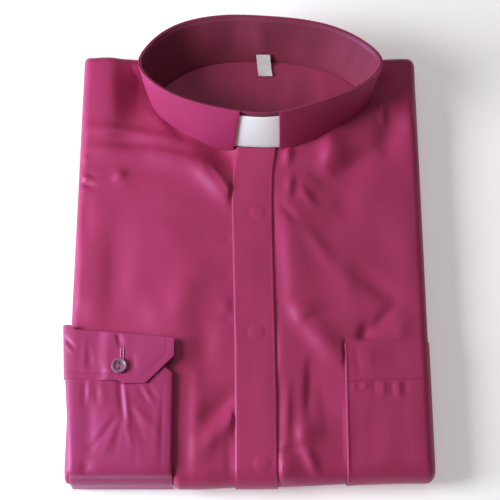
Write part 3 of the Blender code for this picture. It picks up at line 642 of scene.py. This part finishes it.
def layer_point(p, q, level):
    """A point of the layered edge: level counts rows of the table, and may lie between them."""
    first = min(int(level), len(LAYER_EDGE) - 2)
    share = smooth_step(0, 1, level - first)
    row = Row(*(mix(a, b, share) for a, b in zip(LAYER_EDGE[first], LAYER_EDGE[first + 1])))
    side, end, _, inner_y = fold_angles(p, q)
    across, along = corner_share(p, q, side, end)
    at_hem = smooth_step(0, 0.35, along * along) if q < 0 else 0.0
    corner = q < 0 and side > 0 and end > 0
    out = 0.4 * MM if corner else mix(row.side_out, row.hem_out, at_hem) * MM
    x = math.copysign(min(abs(p), INNER_X), p)
    y = math.copysign(min(abs(q), inner_y), q)
    dip = nape_dip(x, y)
    out = max(out - 0.3 * dip * along * along, 0)
    if row.side_z > 0.1 and out > 2 * MM:
        out += ripple(p + q, level * 3 * MM, 19, 0.7) - 0.4 * MM
    z = mix(row.side_z, row.hem_z, at_hem) * MM
    z -= dip * (1 - along * along) * row.side_z / LAYER_EDGE[0].side_z
    x += math.copysign(out * across, p)
    y += math.copysign(out * along, q)
    return settle(x, y, z)


NECK_FLOOR = 13.4 * MM    # the bottom of the neck's recess, where the yoke rests


def make_core_cutter():
    """The space inside the collar, down to the recess's floor only."""
    cutter = neck_cutter.copy()
    cutter.data = neck_cutter.data.copy()
    bpy.context.scene.collection.objects.link(cutter)
    for vert in cutter.data.vertices:
        if vert.co.z < 8 * MM:
            vert.co.z = NECK_FLOOR
    return cutter


def make_layers():
    far = INNER_X + ROUND
    low, high = -INNER_HEM - ROUND_HEM, INNER_TOP + ROUND
    across = steps((-far, -INNER_X, INNER_X, far), (8, 60, 8))
    along = steps((low, -INNER_HEM, INNER_TOP, high), (8, 80, 8))
    depth = -2.1 * MM

    def upper(p, q):
        side, end, _, _ = fold_angles(p, q)
        drawn_in = 3.6 * MM * smooth_step(0, 1, min(side, end)) if q < 0 else 0.0
        way_in = min(INNER_X - abs(p), INNER_HEM + q, INNER_TOP - q)
        return lay(p, q, depth - drawn_in - 3.8 * MM * rise(0, 14, way_in))

    border = [(p, low) for p in across] + [(far, q) for q in along[1:]]
    border += [(p, high) for p in across[-2::-1]] + [(-far, q) for q in along[-2::-1]]
    levels = [None] + steps((0, len(LAYER_EDGE) - 1), (36,)) + ["under"]

    def wall(spot, level):
        p, q = border[spot]
        if levels[level] is None:
            return upper(p, q)
        if levels[level] == "under":
            rim = layer_point(p, q, len(LAYER_EDGE) - 1)
            return Vector((rim.x * 0.5, rim.y * 0.5, rim.z))
        return layer_point(p, q, levels[level])

    shape = cloth_grid(across, along, upper)
    edge = cloth_grid(range(len(border))[::-1], range(len(levels)), wall, mm(3, 1))
    mesh = bpy.data.meshes.new("edge")
    edge.to_mesh(mesh)
    edge.free()
    shape.from_mesh(mesh)
    bpy.data.meshes.remove(mesh)
    bmesh.ops.remove_doubles(shape, verts=shape.verts[:], dist=0.002 * MM)
    bmesh.ops.holes_fill(shape, edges=[edge for edge in shape.edges if edge.is_boundary], sides=0)
    bmesh.ops.recalc_face_normals(shape, faces=shape.faces[:])
    piece = make_piece("layers_cloth", shape, magenta)
    core_cutter = make_core_cutter()
    cut_neck(piece, core_cutter)
    keep_shape(piece)
    bpy.data.objects.remove(core_cutter)
    thicken(piece, SHELL)
    keep_shape(piece)
    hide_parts("folded_layers")


make_layers()

# %% [markdown]
# ## The fly placket
# A fly placket is a strip that hides the front buttons. It is sewn near its right edge, and the
# buttons under it press small round marks into it.
# %% The fly placket
STRIP_TOP = 1.2 * MM      # the placket's and the pocket's outside, above the fronts
HIDDEN_BUTTONS = ((6.2, 32.7), (5, -57.5), (8.5, -150))
PLACKET_CREASES = table(
    Crease,
    (4, 70, 5, 40, 8, 8, 0.35), (1, 20, 3, -40, 7, 9, 0.4), (10, -70, 9, -130, 6, 8, 0.4),
    (-5, 8, 12, 2, 5, 5, -0.25), (-4, -84, 13, -90, 6, 6, -0.2),
)


def placket_relief(p, q):
    relief = uneven(PLACKET_CREASES, p, q, 24, 0.3)
    for x, y in HIDDEN_BUTTONS:
        away = math.hypot(p / MM - x, q / MM - y)
        relief += 0.32 * MM * (1 - smooth_step(3.2, 6.4, away))
        relief -= 0.16 * MM * bell(away - 6.4, 1.3)
    left, right = placket_edges(q)
    from_edge = min(p - left, right - p)
    relief *= rise(0, 3, from_edge)
    relief -= 0.8 * MM * (1 - rise(0, 1.2, from_edge))
    seam_way = abs(right - p - 3.2 * MM)
    relief -= 0.18 * MM * bell(seam_way, 0.6 * MM)
    return relief * round_fade(p, q)


def placket_spot(share, q, lift=0.0):
    left, right = placket_edges(q)
    p = mix(left, right, share)
    return lay(p, q, STRIP_TOP + lift + placket_relief(p, q))


def make_placket():
    low = -INNER_HEM - 4 * HEM_STEP
    along = steps((low, -INNER_HEM, 92 * MM), (14, 160))
    across = steps((0, 0.06, 0.94, 1), (5, 24, 4))
    shape = cloth_grid(across, along, placket_spot, (30 * MM, 1))
    piece = make_piece("placket_cloth", shape, magenta)
    thicken(piece, SHELL)
    cut_neck(piece, neck_cutter)
    keep_shape(piece)
    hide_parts("fly_placket")


make_placket()

# %% [markdown]
# ## The chest pocket
# The pocket has a deep hem at its mouth, and the hem's seam draws the cloth below it into small
# puckers. Its left edge is turned under, so it shows as a thin bright roll.
# %% The chest pocket
POCKET_CREASES = table(
    Crease,
    (71, -97, 71, -101, 1.6, 1.6, 0.3), (74.5, -95, 75, -99, 1.2, 1.2, -0.4),
    (80, -94.5, 79, -100, 1.4, 2.2, 0.5), (85, -94, 85.5, -102, 1.6, 1.6, -0.45),
    (91.5, -94.5, 91.5, -105, 1.8, 3.0, 0.65), (97, -94, 97.5, -104, 1.8, 1.8, -0.45),
    (101.5, -94.5, 102.5, -107, 2.0, 3.2, 0.7), (106.5, -94, 107, -103, 2, 2, -0.45),
    (73, -68, 76, -90, 2, 3, -0.35), (82, -68, 83, -88, 4, 5, 0.4), (98, -66, 104, -90, 9, 9, -0.4),
    (73, -110, 71, -160, 4, 6, -0.4), (98, -120, 90, -160, 12, 10, 0.6),
    (113, -100, 113, -150, 7, 7, 0.5), (84, -112, 80, -150, 8, 8, -0.4),
)
POCKET_HEM = mm(-94.0, -92.2)


def pocket_line(ends, p):
    """The height of the pocket's mouth or of its hem's seam, which both slope a little."""
    return mix(*ends, (min(p, INNER_X) - POCKET_LEFT) / (INNER_X - POCKET_LEFT))


def pocket_spot(p, q, lift=0.0):
    above = q - pocket_line(POCKET_HEM, p)
    from_left, below_mouth = p - POCKET_LEFT, pocket_line(POCKET_TOP, p) - q
    relief = uneven(POCKET_CREASES, p, q, 26, 0.35)
    relief *= rise(0, 3, from_left) * rise(0, 3, below_mouth)
    relief *= rise(0.2, 1.6, abs(above))
    relief += 0.4 * MM * rise(-0.5, 0.3, above)
    relief += 0.35 * MM * bell(from_left - 1.1 * MM, 0.6 * MM)
    relief -= 1.0 * MM * (1 - rise(0, 0.9, from_left))
    side, end, _, _ = fold_angles(p, q)
    corner = 0.4 * MM * smooth_step(0, 1, min(side, end))
    sunk = 0.35 * MM * smooth_step(0, 1.2, side)
    return lay(p, q, STRIP_TOP + corner - sunk + lift + relief * round_fade(p, q))


def make_pocket():
    low = -INNER_HEM - 4 * HEM_STEP
    far = INNER_X + 4 * SIDE_STEP
    across = steps((POCKET_LEFT, POCKET_LEFT + 2 * MM, INNER_X, far), (7, 60, 14))
    along = steps((0, 1, 2, 3, 4), (14, 60, 8, 30))

    def place(p, share):
        seam = pocket_line(POCKET_HEM, p)
        levels = (low, -INNER_HEM, seam - 1 * MM, seam + 0.8 * MM, pocket_line(POCKET_TOP, p))
        index = min(int(share), 3)
        return pocket_spot(p, mix(levels[index], levels[index + 1], share - index))

    shape = cloth_grid(across, along, place, (1, 28 * MM))
    piece = make_piece("pocket_cloth", shape, magenta)
    thicken(piece, SHELL)
    keep_shape(piece)
    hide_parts("chest_pocket")


make_pocket()

# %% [markdown]
# ## The sleeve
# The sleeve comes round the lower fold and lies flat on the chest, a tube with a soft roll down
# its left side. Its slit opens under the button, and creases fan out below the slit.
# %% The sleeve
SLEEVE_LEFT, SLEEVE_RIGHT = mm(-120.6, -126.2), -51.6 * MM
SLEEVE_TOP, SLEEVE_CORNER = -90.6 * MM, mm(-84, -90)
SLEEVE_FOLD = -159.7 * MM
CUFF_TOP, CUFF_LEFT, CUFF_RIGHT = mm(-55.2, -63.5), mm(-127, -129.5), -51.6 * MM
CUFF_MITRE = (mm(-70.5, -96.6), (CUFF_RIGHT, -76.6 * MM))
SLEEVE_CREASES = table(
    Crease,
    (-88.6, -88, -84.5, -122, 1.4, 2.6, -1.3), (-85, -98, -81, -126, 1.6, 2.4, 0.9),
    (-89, -120, -100, -136, 1.8, 2.6, -0.45), (-93, -119, -107, -142, 2.2, 3.0, 0.4),
    (-100, -134, -109, -147, 2.2, 2.8, -0.45), (-89, -126, -97, -146, 1.8, 2.6, 0.45),
    (-87, -126, -90, -148, 1.8, 2.0, -0.35), (-83, -124, -77, -148, 1.6, 2.2, 0.6),
    (-80, -136, -75, -154, 1.8, 2.2, -0.4), (-82, -108, -62, -132, 2.6, 3.0, 0.55),
    (-80, -114, -70, -140, 2.6, 2.8, -0.5), (-76, -98, -67, -112, 2.0, 2.6, -0.6),
    (-69, -97, -63, -108, 1.8, 2.2, -0.5), (-72, -99, -65, -112, 1.8, 1.8, 0.35),
    (-112, -94, -111.5, -112, 1.6, 2.2, -0.6), (-109, -94, -109, -108, 1.6, 1.6, 0.35),
    (-104, -97, -103, -112, 1.6, 2.0, -0.5), (-100, -96, -98, -110, 2, 2.4, 0.35),
    (-109, -100, -107, -154, 4, 6, -0.9), (-96, -150, -66, -152, 5, 3, 0.35),
    (-58.8, -96, -58.6, -158, 0.7, 0.7, -0.4), (-62, -112, -63, -150, 2.2, 2.5, 0.4),
    (-113, -153, -106, -156, 3, 4, -1.2),
)


def sleeve_height(q):
    """The sleeve lies high on the chest, and pressed flat from its last crease on."""
    return mix(1.1 * MM, 4.2 * MM, smooth_step(SLEEVE_FOLD - 2.4 * MM, SLEEVE_FOLD + 2.6 * MM, q))


def sleeve_left(q):
    return mix(*SLEEVE_LEFT, min(max((q + INNER_HEM) / (INNER_HEM + SLEEVE_TOP), 0), 1))


def sleeve_end(p):
    inner_end, corner = SLEEVE_CORNER
    if p > -58 * MM:
        return mix(inner_end, corner, (p + 58 * MM) / (SLEEVE_RIGHT + 58 * MM))
    return mix(SLEEVE_TOP, inner_end, rise(-86, -80, p))


def lay_over(p, q, lift):
    """The sleeve and the cuff stand out over the side's fold and don't go round it."""
    over = max(-p - INNER_X, 0)
    spot = lay(max(p, -INNER_X), q, lift)
    spot.x -= over
    spot.z -= over * over / (50 * MM)
    return spot


def hang(p, q, lift):
    """Past a quarter turn of the lower fold the sleeve drops straight down."""
    quarter = -INNER_HEM - HEM_ROLL * math.pi / 2
    if q >= quarter:
        return lay_over(p, q, lift)
    edge = lay_over(p, quarter, lift)
    edge.z = max(edge.z + q - quarter, 0.8 * MM)
    return edge


def cuff_edges(p, under):
    """The cuff's seam and top edge at this place across it."""
    top = mix(*CUFF_TOP, (p + 129 * MM) / (CUFF_RIGHT + 129 * MM))
    top += 3.2 * MM * rise(-120, -124, p)
    corner, end = CUFF_MITRE
    low = mix(-92.1 * MM, -94.2 * MM, rise(-127, -90, p))
    if under:
        return mix(low, -80 * MM, rise(-96, -88, p)), top
    low = mix(low, corner[1], rise(-90, -86, p))
    if p > corner[0]:
        low = mix(corner[1], end[1], (p - corner[0]) / (end[0] - corner[0]))
    return low, top


def sleeve_lift(p, q, level):
    """How far up this place of the sleeve lies: its upper cloth has level 1, its lower 0."""
    from_edge = min(p - sleeve_left(q), SLEEVE_RIGHT - p)
    relief = uneven(SLEEVE_CREASES, p, q, 20, 0.35)
    relief *= rise(0, 3.5, from_edge) * round_fade(p, q)
    flat_edge = 1 - 0.18 * math.exp(-from_edge / (2.5 * MM))
    tucked = rise(0.2, 1.5, q - cuff_edges(p, False)[0])
    height = mix(sleeve_height(q) * flat_edge + max(relief, -1.9 * MM), 1.7 * MM, tucked)
    return mix(LAID, LAID + 1.0 * MM, tucked) + level * height


def make_sleeve():
    shares = steps((0.022, 0.06, 0.94, 0.985), (2, 60, 3))
    loop = [(share, 1) for share in shares] + [(0.996, 0.86), (1, 0.5), (0.996, 0.14)]
    loop += [(share, 0) for share in shares[::-1]] + [(0.006, 0.12), (0, 0.5), (0.006, 0.88)]
    loop.append(loop[0])
    start = -INNER_HEM - 3 * HEM_STEP
    rows = [(start - 11 * MM, 0), (start - 5 * MM, 0)]
    rows += [(value, 0) for value in steps((start, -INNER_HEM), (14,))]
    rows += [(-INNER_HEM, (row + 1) / 64) for row in range(64)]

    def place(spot, row):
        share, level = loop[spot]
        low, way = rows[row]
        q = mix(low, sleeve_end(mix(SLEEVE_LEFT[1], SLEEVE_RIGHT, share)), way)
        p = mix(sleeve_left(q), SLEEVE_RIGHT, share)
        return hang(p, q, sleeve_lift(p, q, level))

    shape = cloth_grid(range(len(loop)), range(len(rows)), place, mm(1.1, 1.1))
    bmesh.ops.remove_doubles(shape, verts=shape.verts[:], dist=0.001 * MM)
    # The sleeve's bluer dye is painted violet sheen.
    piece = make_piece("sleeve_cloth", shape, pressed)
    thicken(piece, 0.5 * MM)
    keep_shape(piece)
    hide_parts("sleeve")


make_sleeve()

# %% [markdown]
# ## The cuff and its button
# The cuff is two layers with a stiff one between, so it stays smooth. Its free end is cut off
# at a slant and laps over the rest, held by one button. A stitched line runs inside the edge.
# %% The cuff and its button
CUFF_CREASES = table(
    Crease,
    (-91.0, -59, -88.8, -70, 2.8, 1.4, -1.1), (-88.5, -61, -82, -72, 4, 5, 0.35),
    (-100, -64, -104, -90, 7, 8, 0.4), (-110, -72, -108, -86, 2, 3, -0.5),
    (-113, -62, -113, -88, 1.6, 2, 0.35), (-129, -60, -120, -70, 1.4, 1.8, -0.6),
    (-127, -66, -121, -74, 1.2, 1.2, 0.3), (-70, -64, -64, -80, 9, 7, 0.35),
    (-80, -76, -79, -88, 2.0, 2.5, -0.5), (-74, -70, -72, -88, 5, 5, 0.35),
    (-96, -82, -95, -93, 2, 2, 0.35), (-101, -84, -101, -93, 2, 2, -0.35),
    (-123, -86, -110, -88, 1.5, 1.5, -0.3),
)
BUTTON_PLACE = mm(-88.6, -84.2)
BUTTON_RADIUS, BUTTON_THICK, HOLE_RADIUS, HOLE_WAY = mm(5.5, 2.2, 0.8, 1.7)


def cuff_height(p):
    return 4.2 * MM + 1.6 * MM * rise(-105, -96, p)


def cuff_groove(p, q):
    """The stitched line runs 5.2 mm in from the free end, the slant and the seam."""
    corner, end = CUFF_MITRE
    run_x, run_y = end[0] - corner[0], end[1] - corner[1]
    slant = (run_x * (q - end[1]) - run_y * (p - end[0])) / math.hypot(run_x, run_y)
    way_in = min(CUFF_RIGHT - p, q - cuff_edges(min(p, corner[0]), False)[0], slant)
    return 0.2 * MM * bell(way_in - 5.2 * MM, 0.7 * MM)


def cuff_lift(p, q, level):
    _, top = cuff_edges(p, False)
    relief = uneven(CUFF_CREASES, p, q, 24, 0.3)
    relief -= cuff_groove(p, q)
    relief *= rise(0, 2, min(top - q, CUFF_RIGHT - p))
    return LAID + level * (cuff_height(p) + relief)


def make_cuff():
    ways = steps((0, 0.25, 0.93, 0.965, 1.035, 1.07, 2), (24, 60, 4, 12, 3, 16))

    def place(way, share):
        under = way > 1
        fold = mix(*CUFF_LEFT, share)
        p = mix(fold, CUFF_RIGHT - 2 * MM, way - 1) if under else mix(CUFF_RIGHT, fold, way)
        low, top = cuff_edges(p, under)
        level = 0.5 + 0.5 * math.cos(math.pi * smooth_step(0.965, 1.035, way))
        q = mix(low, top, share)
        return lay_over(p, q, cuff_lift(p, q, level))

    shape = cloth_grid(ways, steps((0, 1), (40,)), place, mm(71, 36))
    # The cuff's bluer dye is painted violet sheen.
    piece = make_piece("cuff_cloth", shape, pressed)
    turn_over(piece)
    thicken(piece, 1.2 * MM, 0.25 * MM)
    keep_shape(piece)
    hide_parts("cuff")


make_cuff()


def pearly(name, light, dark):
    """Polished dyed plastic with a faint pearl: cloudy colour and a clear coat."""
    plastic, tree, shader = new_finish(name, {
        "Roughness": 0.28, "Coat Weight": 0.5, "Coat Roughness": 0.12,
    })
    colour_by(tree, shader, cloudy(tree, 420, 2), dark, light, (0.35, 0.65))
    return plastic


def make_button():
    """Spin the button's half profile, and drill its two holes."""
    profile = (
        (0.0, 0.50), (0.44, 0.50), (0.56, 0.58), (0.64, 0.84), (0.74, 0.98), (0.84, 1.0), (0.93, 0.92),
        (0.985, 0.72), (1.0, 0.48), (0.95, 0.2), (0.85, 0.04), (0.7, 0.0), (0.0, 0.0),
    )
    button = bmesh.new()
    points = [button.verts.new((out * BUTTON_RADIUS, 0, up * BUTTON_THICK)) for out, up in profile]
    edges = [button.edges.new(pair) for pair in zip(points, points[1:])]
    bmesh.ops.spin(
        button, geom=points + edges, cent=(0, 0, 0), axis=(0, 0, 1), dvec=(0, 0, 0),
        angle=2 * math.pi, steps=64, use_merge=True,
    )
    bmesh.ops.remove_doubles(button, verts=button.verts[:], dist=0.005 * MM)
    bmesh.ops.recalc_face_normals(button, faces=button.faces[:])
    p, q = BUTTON_PLACE
    seat = lay(p, q, LAID + cuff_height(p) + SEAM)
    bmesh.ops.translate(button, verts=button.verts[:], vec=seat)
    plastic = pearly("mauve_plastic", (0.30, 0.135, 0.215), (0.215, 0.085, 0.145))
    piece = make_piece("button", button, plastic)
    tools = []
    for side in (-1, 1):
        drill = bmesh.new()
        bmesh.ops.create_cone(
            drill, cap_ends=True, segments=20, radius1=HOLE_RADIUS, radius2=HOLE_RADIUS, depth=8 * MM,
        )
        bmesh.ops.translate(drill, verts=drill.verts[:], vec=seat + Vector((0, side * HOLE_WAY, 0)))
        tools.append(to_object("drill", drill))
        hole = piece.modifiers.new("Hole", "BOOLEAN")
        hole.operation = "DIFFERENCE"
        hole.solver = "EXACT"
        hole.object = tools[-1]
    keep_shape(piece, 30)
    for tool in tools:
        bpy.data.objects.remove(tool)
    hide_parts("cuff_button")
    return seat


button_seat = make_button()

# %% [markdown]
# ## The collar
# A clergy shirt's collar is a plain standing band. The outer band leaves a gap at the front,
# and a white plastic tab slides in behind its two ends. The inner band is whole. It lies against
# the outer one, and comes into view all round the inside.
# %% The collar
Wave = namedtuple("Wave", "turn width depth")
INNER_WAVES = table(
    Wave,
    (0.30, 0.012, 0.9), (0.345, 0.014, -0.7), (0.375, 0.012, -0.9), (0.415, 0.02, 1.2),
    (0.455, 0.018, 1.4), (0.497, 0.011, -1.9), (0.535, 0.014, 1.1), (0.575, 0.016, -0.8),
    (0.62, 0.02, 0.8), (0.68, 0.02, -0.5), (0.76, 0.02, 0.5),
)
NICKS = (0.862, 0.898)


def half_way_up(height):
    """0 at the band's two edges and 1 between them."""
    return math.sin(math.pi * min(max(height, 0), 1))


def band_waves(turn, height):
    """Soft dents in the back of the collar, strongest half way up."""
    total = sum(wave.depth * bell(turn % 1 - wave.turn, wave.width) for wave in INNER_WAVES)
    return total * 0.7 * MM * half_way_up(height)


def neckband_way(turn):
    from_front = (turn + 0.5) % 1 - 0.5
    reach = abs(front_turn(math.copysign(TAB_HALF + TAB_TUCK, from_front)))
    return mix(NECKBAND_WAY, TAB_WAY, smooth_step(0.012, 0.05, abs(from_front) - reach))


GAP_RIGHT, GAP_LEFT = front_turn(TAB_HALF), 1 + front_turn(-TAB_HALF)


def outer_spot(turn, height, lift=0.0):
    lean_left = mix(-1.0, 2.9, height) * (1 - smooth_step(0, 0.05, GAP_LEFT - turn))
    lean_right = mix(0.5, -1.4, height) * (1 - smooth_step(0, 0.05, turn - GAP_RIGHT))
    turn += (lean_left + lean_right) * MM / COLLAR_ROUND
    nick = sum(bell(turn - place, 0.0022) for place in NICKS)
    top = 1 - 0.02 * nick * smooth_step(0.8, 1, height)
    seam = 0.12 * MM * bell(height - 0.91, 0.014)
    wave = ripple(turn * COLLAR_ROUND, height * 34 * MM, 17, 0.35) * half_way_up(height)
    return band_point(turn, height * top, -lift + seam - wave - band_waves(turn, height) * 0.6)


def make_collar():
    heights = steps((-0.11, 0, 0.86, 0.96, 1), (1, 14, 10, 2))
    turns = steps((GAP_RIGHT, GAP_LEFT), (240,))
    shape = cloth_grid(turns, heights, outer_spot, (COLLAR_ROUND, 36 * MM))
    piece = make_piece("collar_cloth", shape, magenta)
    thicken(piece, 0.85 * MM, 0.25 * MM)
    keep_shape(piece)
    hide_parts("collar_band")


def inner_spot(turn, height):
    way = mix(neckband_way(turn), 0.95 * MM, smooth_step(0.89, 0.96, height))
    return band_point(turn, height, way - band_waves(turn, height) + 0.2 * MM)


def make_neckband():
    heights = steps((-0.07, 0, 0.87, 0.99), (1, 16, 6))
    shape = cloth_grid(steps((0, 1), (250,)), heights, inner_spot, (COLLAR_ROUND, 36 * MM))
    bmesh.ops.remove_doubles(shape, verts=shape.verts[:], dist=0.01 * MM)
    # The neckband's darker dye is painted shade inside the collar.
    piece = make_piece("neckband_cloth", shape, inner)
    thicken(piece, CLOTH - 0.2 * MM, 0.3 * MM)
    keep_shape(piece)
    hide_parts("neckband")


def tab_plastic():
    plastic, tree, shader = new_finish("white_tab", {"Roughness": 0.38, "Specular IOR Level": 0.45})
    grain = cloudy(tree, 60, 2)
    colour_by(tree, shader, grain, (0.98, 0.99, 0.90), (0.99, 1.0, 0.92))
    raise_by(tree, shader, grain, 0.05, 0.2 * MM)
    return plastic


def make_tab():
    ends = (front_turn(-TAB_HALF - TAB_TUCK), front_turn(TAB_HALF + TAB_TUCK))

    def place(turn, height):
        return band_point(turn, height, TAB_WAY)

    shape = cloth_grid(steps(ends, (40,)), steps((0.0, 0.855), (14,)), place, (COLLAR_ROUND, 34 * MM))
    piece = make_piece("white_tab", shape, tab_plastic())
    thicken(piece, TAB_SHEET, 0.18 * MM)
    keep_shape(piece)
    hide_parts("collar_tab")


make_collar()
make_neckband()
make_tab()

# %% [markdown]
# ## Inside the neck
# Through the open neck the yoke shows, the doubled piece across the back of the shoulders. It
# lies lower than the fronts and has a few soft folds. The size label is a short ribbon, left
# blank, caught in the neckband's seam.
# %% Inside the neck
YOKE_FRONT, YOKE_BACK, YOKE_END, YOKE_ROLL = mm(91, 165.5, 160, 1.9)
YOKE_CREASES = table(
    Crease,
    (-40, 100, -30, 158, 9, 9, 0.6), (-8, 96, -4, 150, 7, 9, -0.5), (30, 100, 34, 158, 6, 6, 0.8),
    (45, 105, 48, 158, 5, 6, -0.7), (58, 110, 56, 150, 5, 5, 0.6), (12, 110, 14, 140, 6, 6, 0.4),
)


def neck_span(y):
    y = min(y, 157 * MM)
    lefts, rights = [], []
    points = [ring_point(index / 240, 0) for index in range(241)]
    for start, end in zip(points, points[1:]):
        if (start.y - y) * (end.y - y) <= 0 and start.y != end.y:
            x = mix(start.x, end.x, (y - start.y) / (end.y - start.y))
            (rights if x > 8 * MM else lefts).append(x)
    return min(lefts), max(rights)


def yoke_profile(way):
    level = NECK_FLOOR + SEAM + CLOTH
    if way <= 1:
        return mix(YOKE_FRONT, YOKE_BACK, way), level
    if way <= 2:
        angle = (way - 1) * math.pi
        return YOKE_BACK + YOKE_ROLL * math.sin(angle), level - YOKE_ROLL * (1 - math.cos(angle))
    return mix(YOKE_BACK, YOKE_END, way - 2), level - 2 * YOKE_ROLL


def make_yoke():
    ways = steps((0, 1, 2, 3), (50, 12, 4))
    spans = {way: neck_span(yoke_profile(way)[0]) for way in ways}

    def place(share, way):
        y, z = yoke_profile(way)
        left, right = spans[way]
        inset = 2 * SEAM + 4.5 * MM * rise(148, 160, y)
        x = mix(left + inset, right - inset, share)
        lift = max(uneven(YOKE_CREASES, x, y, 26, 0.3), -0.2 * MM)
        lift *= math.sin(math.pi * min(way, 1)) * smooth_step(0, 0.1, min(share, 1 - share))
        return Vector((x, y, z + lift)) + SHIFT

    shape = cloth_grid(steps((0, 1), (70,)), ways, place, (0.16, 75 * MM))
    piece = make_piece("yoke_cloth", shape, lining)
    thicken(piece, 0.8 * MM)
    keep_shape(piece)
    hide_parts("back_yoke")


make_yoke()


def ribbon_weave():
    ribbon, tree, shader = new_finish("white_ribbon", {"Roughness": 0.6})
    threads = add_node(tree, "ShaderNodeUVMap", uv_map="threads")
    ribs = add_node(tree, "ShaderNodeTexWave", {"Scale": 700}, bands_direction="Y")
    tree.links.new(threads.outputs["UV"], ribs.inputs["Vector"])
    colour_by(tree, shader, ribs.outputs["Fac"], (0.66, 0.66, 0.66), (0.80, 0.80, 0.79))
    raise_by(tree, shader, ribs.outputs["Fac"], 0.2, 0.1 * MM)
    return ribbon


LABEL_HALF, LABEL_X, LABEL_TILT = 5.2 * MM, 10.6 * MM, 0.12


def make_label():
    top = band_point(0.5, 0.16, NECKBAND_WAY + CLOTH) - SHIFT
    seam_y = band_point(0.5, 0.0, NECKBAND_WAY + CLOTH).y - SHIFT.y
    lying = NECK_FLOOR + CLOTH + 2 * SEAM + 0.5 * MM + LAID
    route = [(top.y - CLOTH, top.z)]
    ways = ((2.4, 2.2), (4.4, 0.5), (8.5, 0), (13, 0.4))
    route += [(seam_y - way * MM, lying + up * MM) for way, up in ways]

    def place(x, spot):
        first = min(int(spot), 3)
        share = spot - first
        y = mix(route[first][0], route[first + 1][0], share)
        z = mix(route[first][1], route[first + 1][1], share)
        curl = 0.5 * MM * (x / LABEL_HALF) ** 2 * smooth_step(2.5, 4, spot)
        return Vector((LABEL_X + x - LABEL_TILT * (y - seam_y), y, z + curl)) + SHIFT

    across = steps((LABEL_HALF, -LABEL_HALF), (12,))
    shape = cloth_grid(across, steps((0, 4), (20,)), place, (1, 4.5 * MM))
    piece = make_piece("blank_label", shape, ribbon_weave())
    thicken(piece, 0.4 * MM)
    keep_shape(piece)
    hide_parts("size_label")


make_label()
bpy.data.objects.remove(neck_cutter)

# %% [markdown]
# ## Stitches
# Every sewn line is a row of short stitches, each a tiny ball drawn out along the seam, which
# stands just proud of the cloth. One stitch has 20 faces, and a whole row is one joined mesh.


# %% Stitches
PITCH, THREAD_RADIUS, PROUD = mm(2.4, 0.16, 0.12)


def add_bead(shape, form, subdivisions=1):
    """A small ball, each of whose points is then moved by form."""
    made = bmesh.ops.create_icosphere(shape, subdivisions=subdivisions, radius=1)
    for vert in made["verts"]:
        vert.co = form(*vert.co)


def sew(name, place, first, last, length):
    """Sew a straight line between two places of a piece, which place knows how to find."""
    row = bmesh.new()
    count = max(int(length / PITCH), 2)

    def spot(share, lift):
        return place(mix(first[0], last[0], share), mix(first[1], last[1], share), lift)

    for index in range(count):
        share = (index + 0.18) / count
        start, end = spot(share, PROUD), spot((index + 0.82) / count, PROUD)
        along, middle = end - start, (start + end) / 2
        up = (spot(share, PROUD + 1 * MM) - start).normalized()
        side = along.cross(up).normalized()
        add_bead(row, lambda x, y, z: (
            middle + along * (x * 0.55) + side * (y * THREAD_RADIUS) + up * (z * THREAD_RADIUS * 0.8)
        ))
    make_piece(name, row, thread)
    print(name, count, "stitches")


def cuff_spot(p, q, lift):
    return lay_over(p, q, cuff_lift(p, q, 1) + lift)


def sleeve_spot(p, q, lift):
    return lay_over(p, q, sleeve_lift(p, q, 1) + lift)


SEWN_ON_CLOTH = (
    ("placket", placket_spot, (0.89, 86 * MM), (0.89, -158 * MM), 0.245),
    ("pocket_side", pocket_spot, mm(67.6, -66), mm(67.6, -160), 0.095),
    ("pocket_hem", pocket_spot, mm(67.6, -93.2), mm(117, -91.5), 0.05),
    ("cuff_end", cuff_spot, mm(-56.8, -65), mm(-56.8, -74.6), 0.0096),
    ("cuff_slant", cuff_spot, mm(-56.8, -74.6), mm(-72.2, -91.3), 0.0228),
    ("cuff_seam", cuff_spot, mm(-72.2, -91.3), mm(-86, -91.2), 0.0138),
    ("cuff_left", cuff_spot, mm(-90.5, -88.9), mm(-124, -87.0), 0.0335),
    ("sleeve_seam", sleeve_spot, mm(-58.4, -92), mm(-58.4, -158), 0.066),
    ("collar_top", outer_spot, (GAP_RIGHT + 0.006, 0.91), (GAP_LEFT - 0.006, 0.91), 0.40),
    ("collar_seam", outer_spot, (GAP_RIGHT + 0.006, 0.05), (GAP_LEFT - 0.006, 0.05), 0.38),
)
for name, place, first, last, length in SEWN_ON_CLOTH:
    sew(name + "_stitches", place, first, last, length)

# %% [markdown]
# ## The buttonhole and the button's thread
# The buttonhole is a narrow slit worked over with close stitches, and it comes out above the
# button. Two passes of thread cross between the button's two holes.


# %% The buttonhole and the button's thread
def make_buttonhole():
    worked = bmesh.new()
    start, end = Vector((-87.0, -70.6)) * MM, Vector((-86.8, -79.5)) * MM
    count = 26
    for side in (-1, 1):
        for index in range(count):
            middle = start.lerp(end, (index + 0.5) / count) + Vector((side * 0.95 * MM, 0))
            seat = cuff_spot(middle.x, middle.y, 0.25 * MM)
            add_bead(worked, lambda x, y, z: seat + Vector((x * 0.75, y * 0.2, z * 0.32)) * MM)
    # The paler thread is a painted highlight along the buttonhole's worked edges.
    make_piece("buttonhole", worked, painted_highlight_thread)
    print("buttonhole", 2 * count, "stitches")


def make_button_thread():
    passes = bmesh.new()
    for offset in (-0.25, 0.25):
        add_bead(passes, lambda x, y, z: button_seat + Vector(
            (offset + x * 0.24, y * 2.0, 1.15 + z * 0.3 - abs(y) ** 3 * 0.5)
        ) * MM, 2)
    make_piece("button_thread", passes, thread)


make_buttonhole()
make_button_thread()
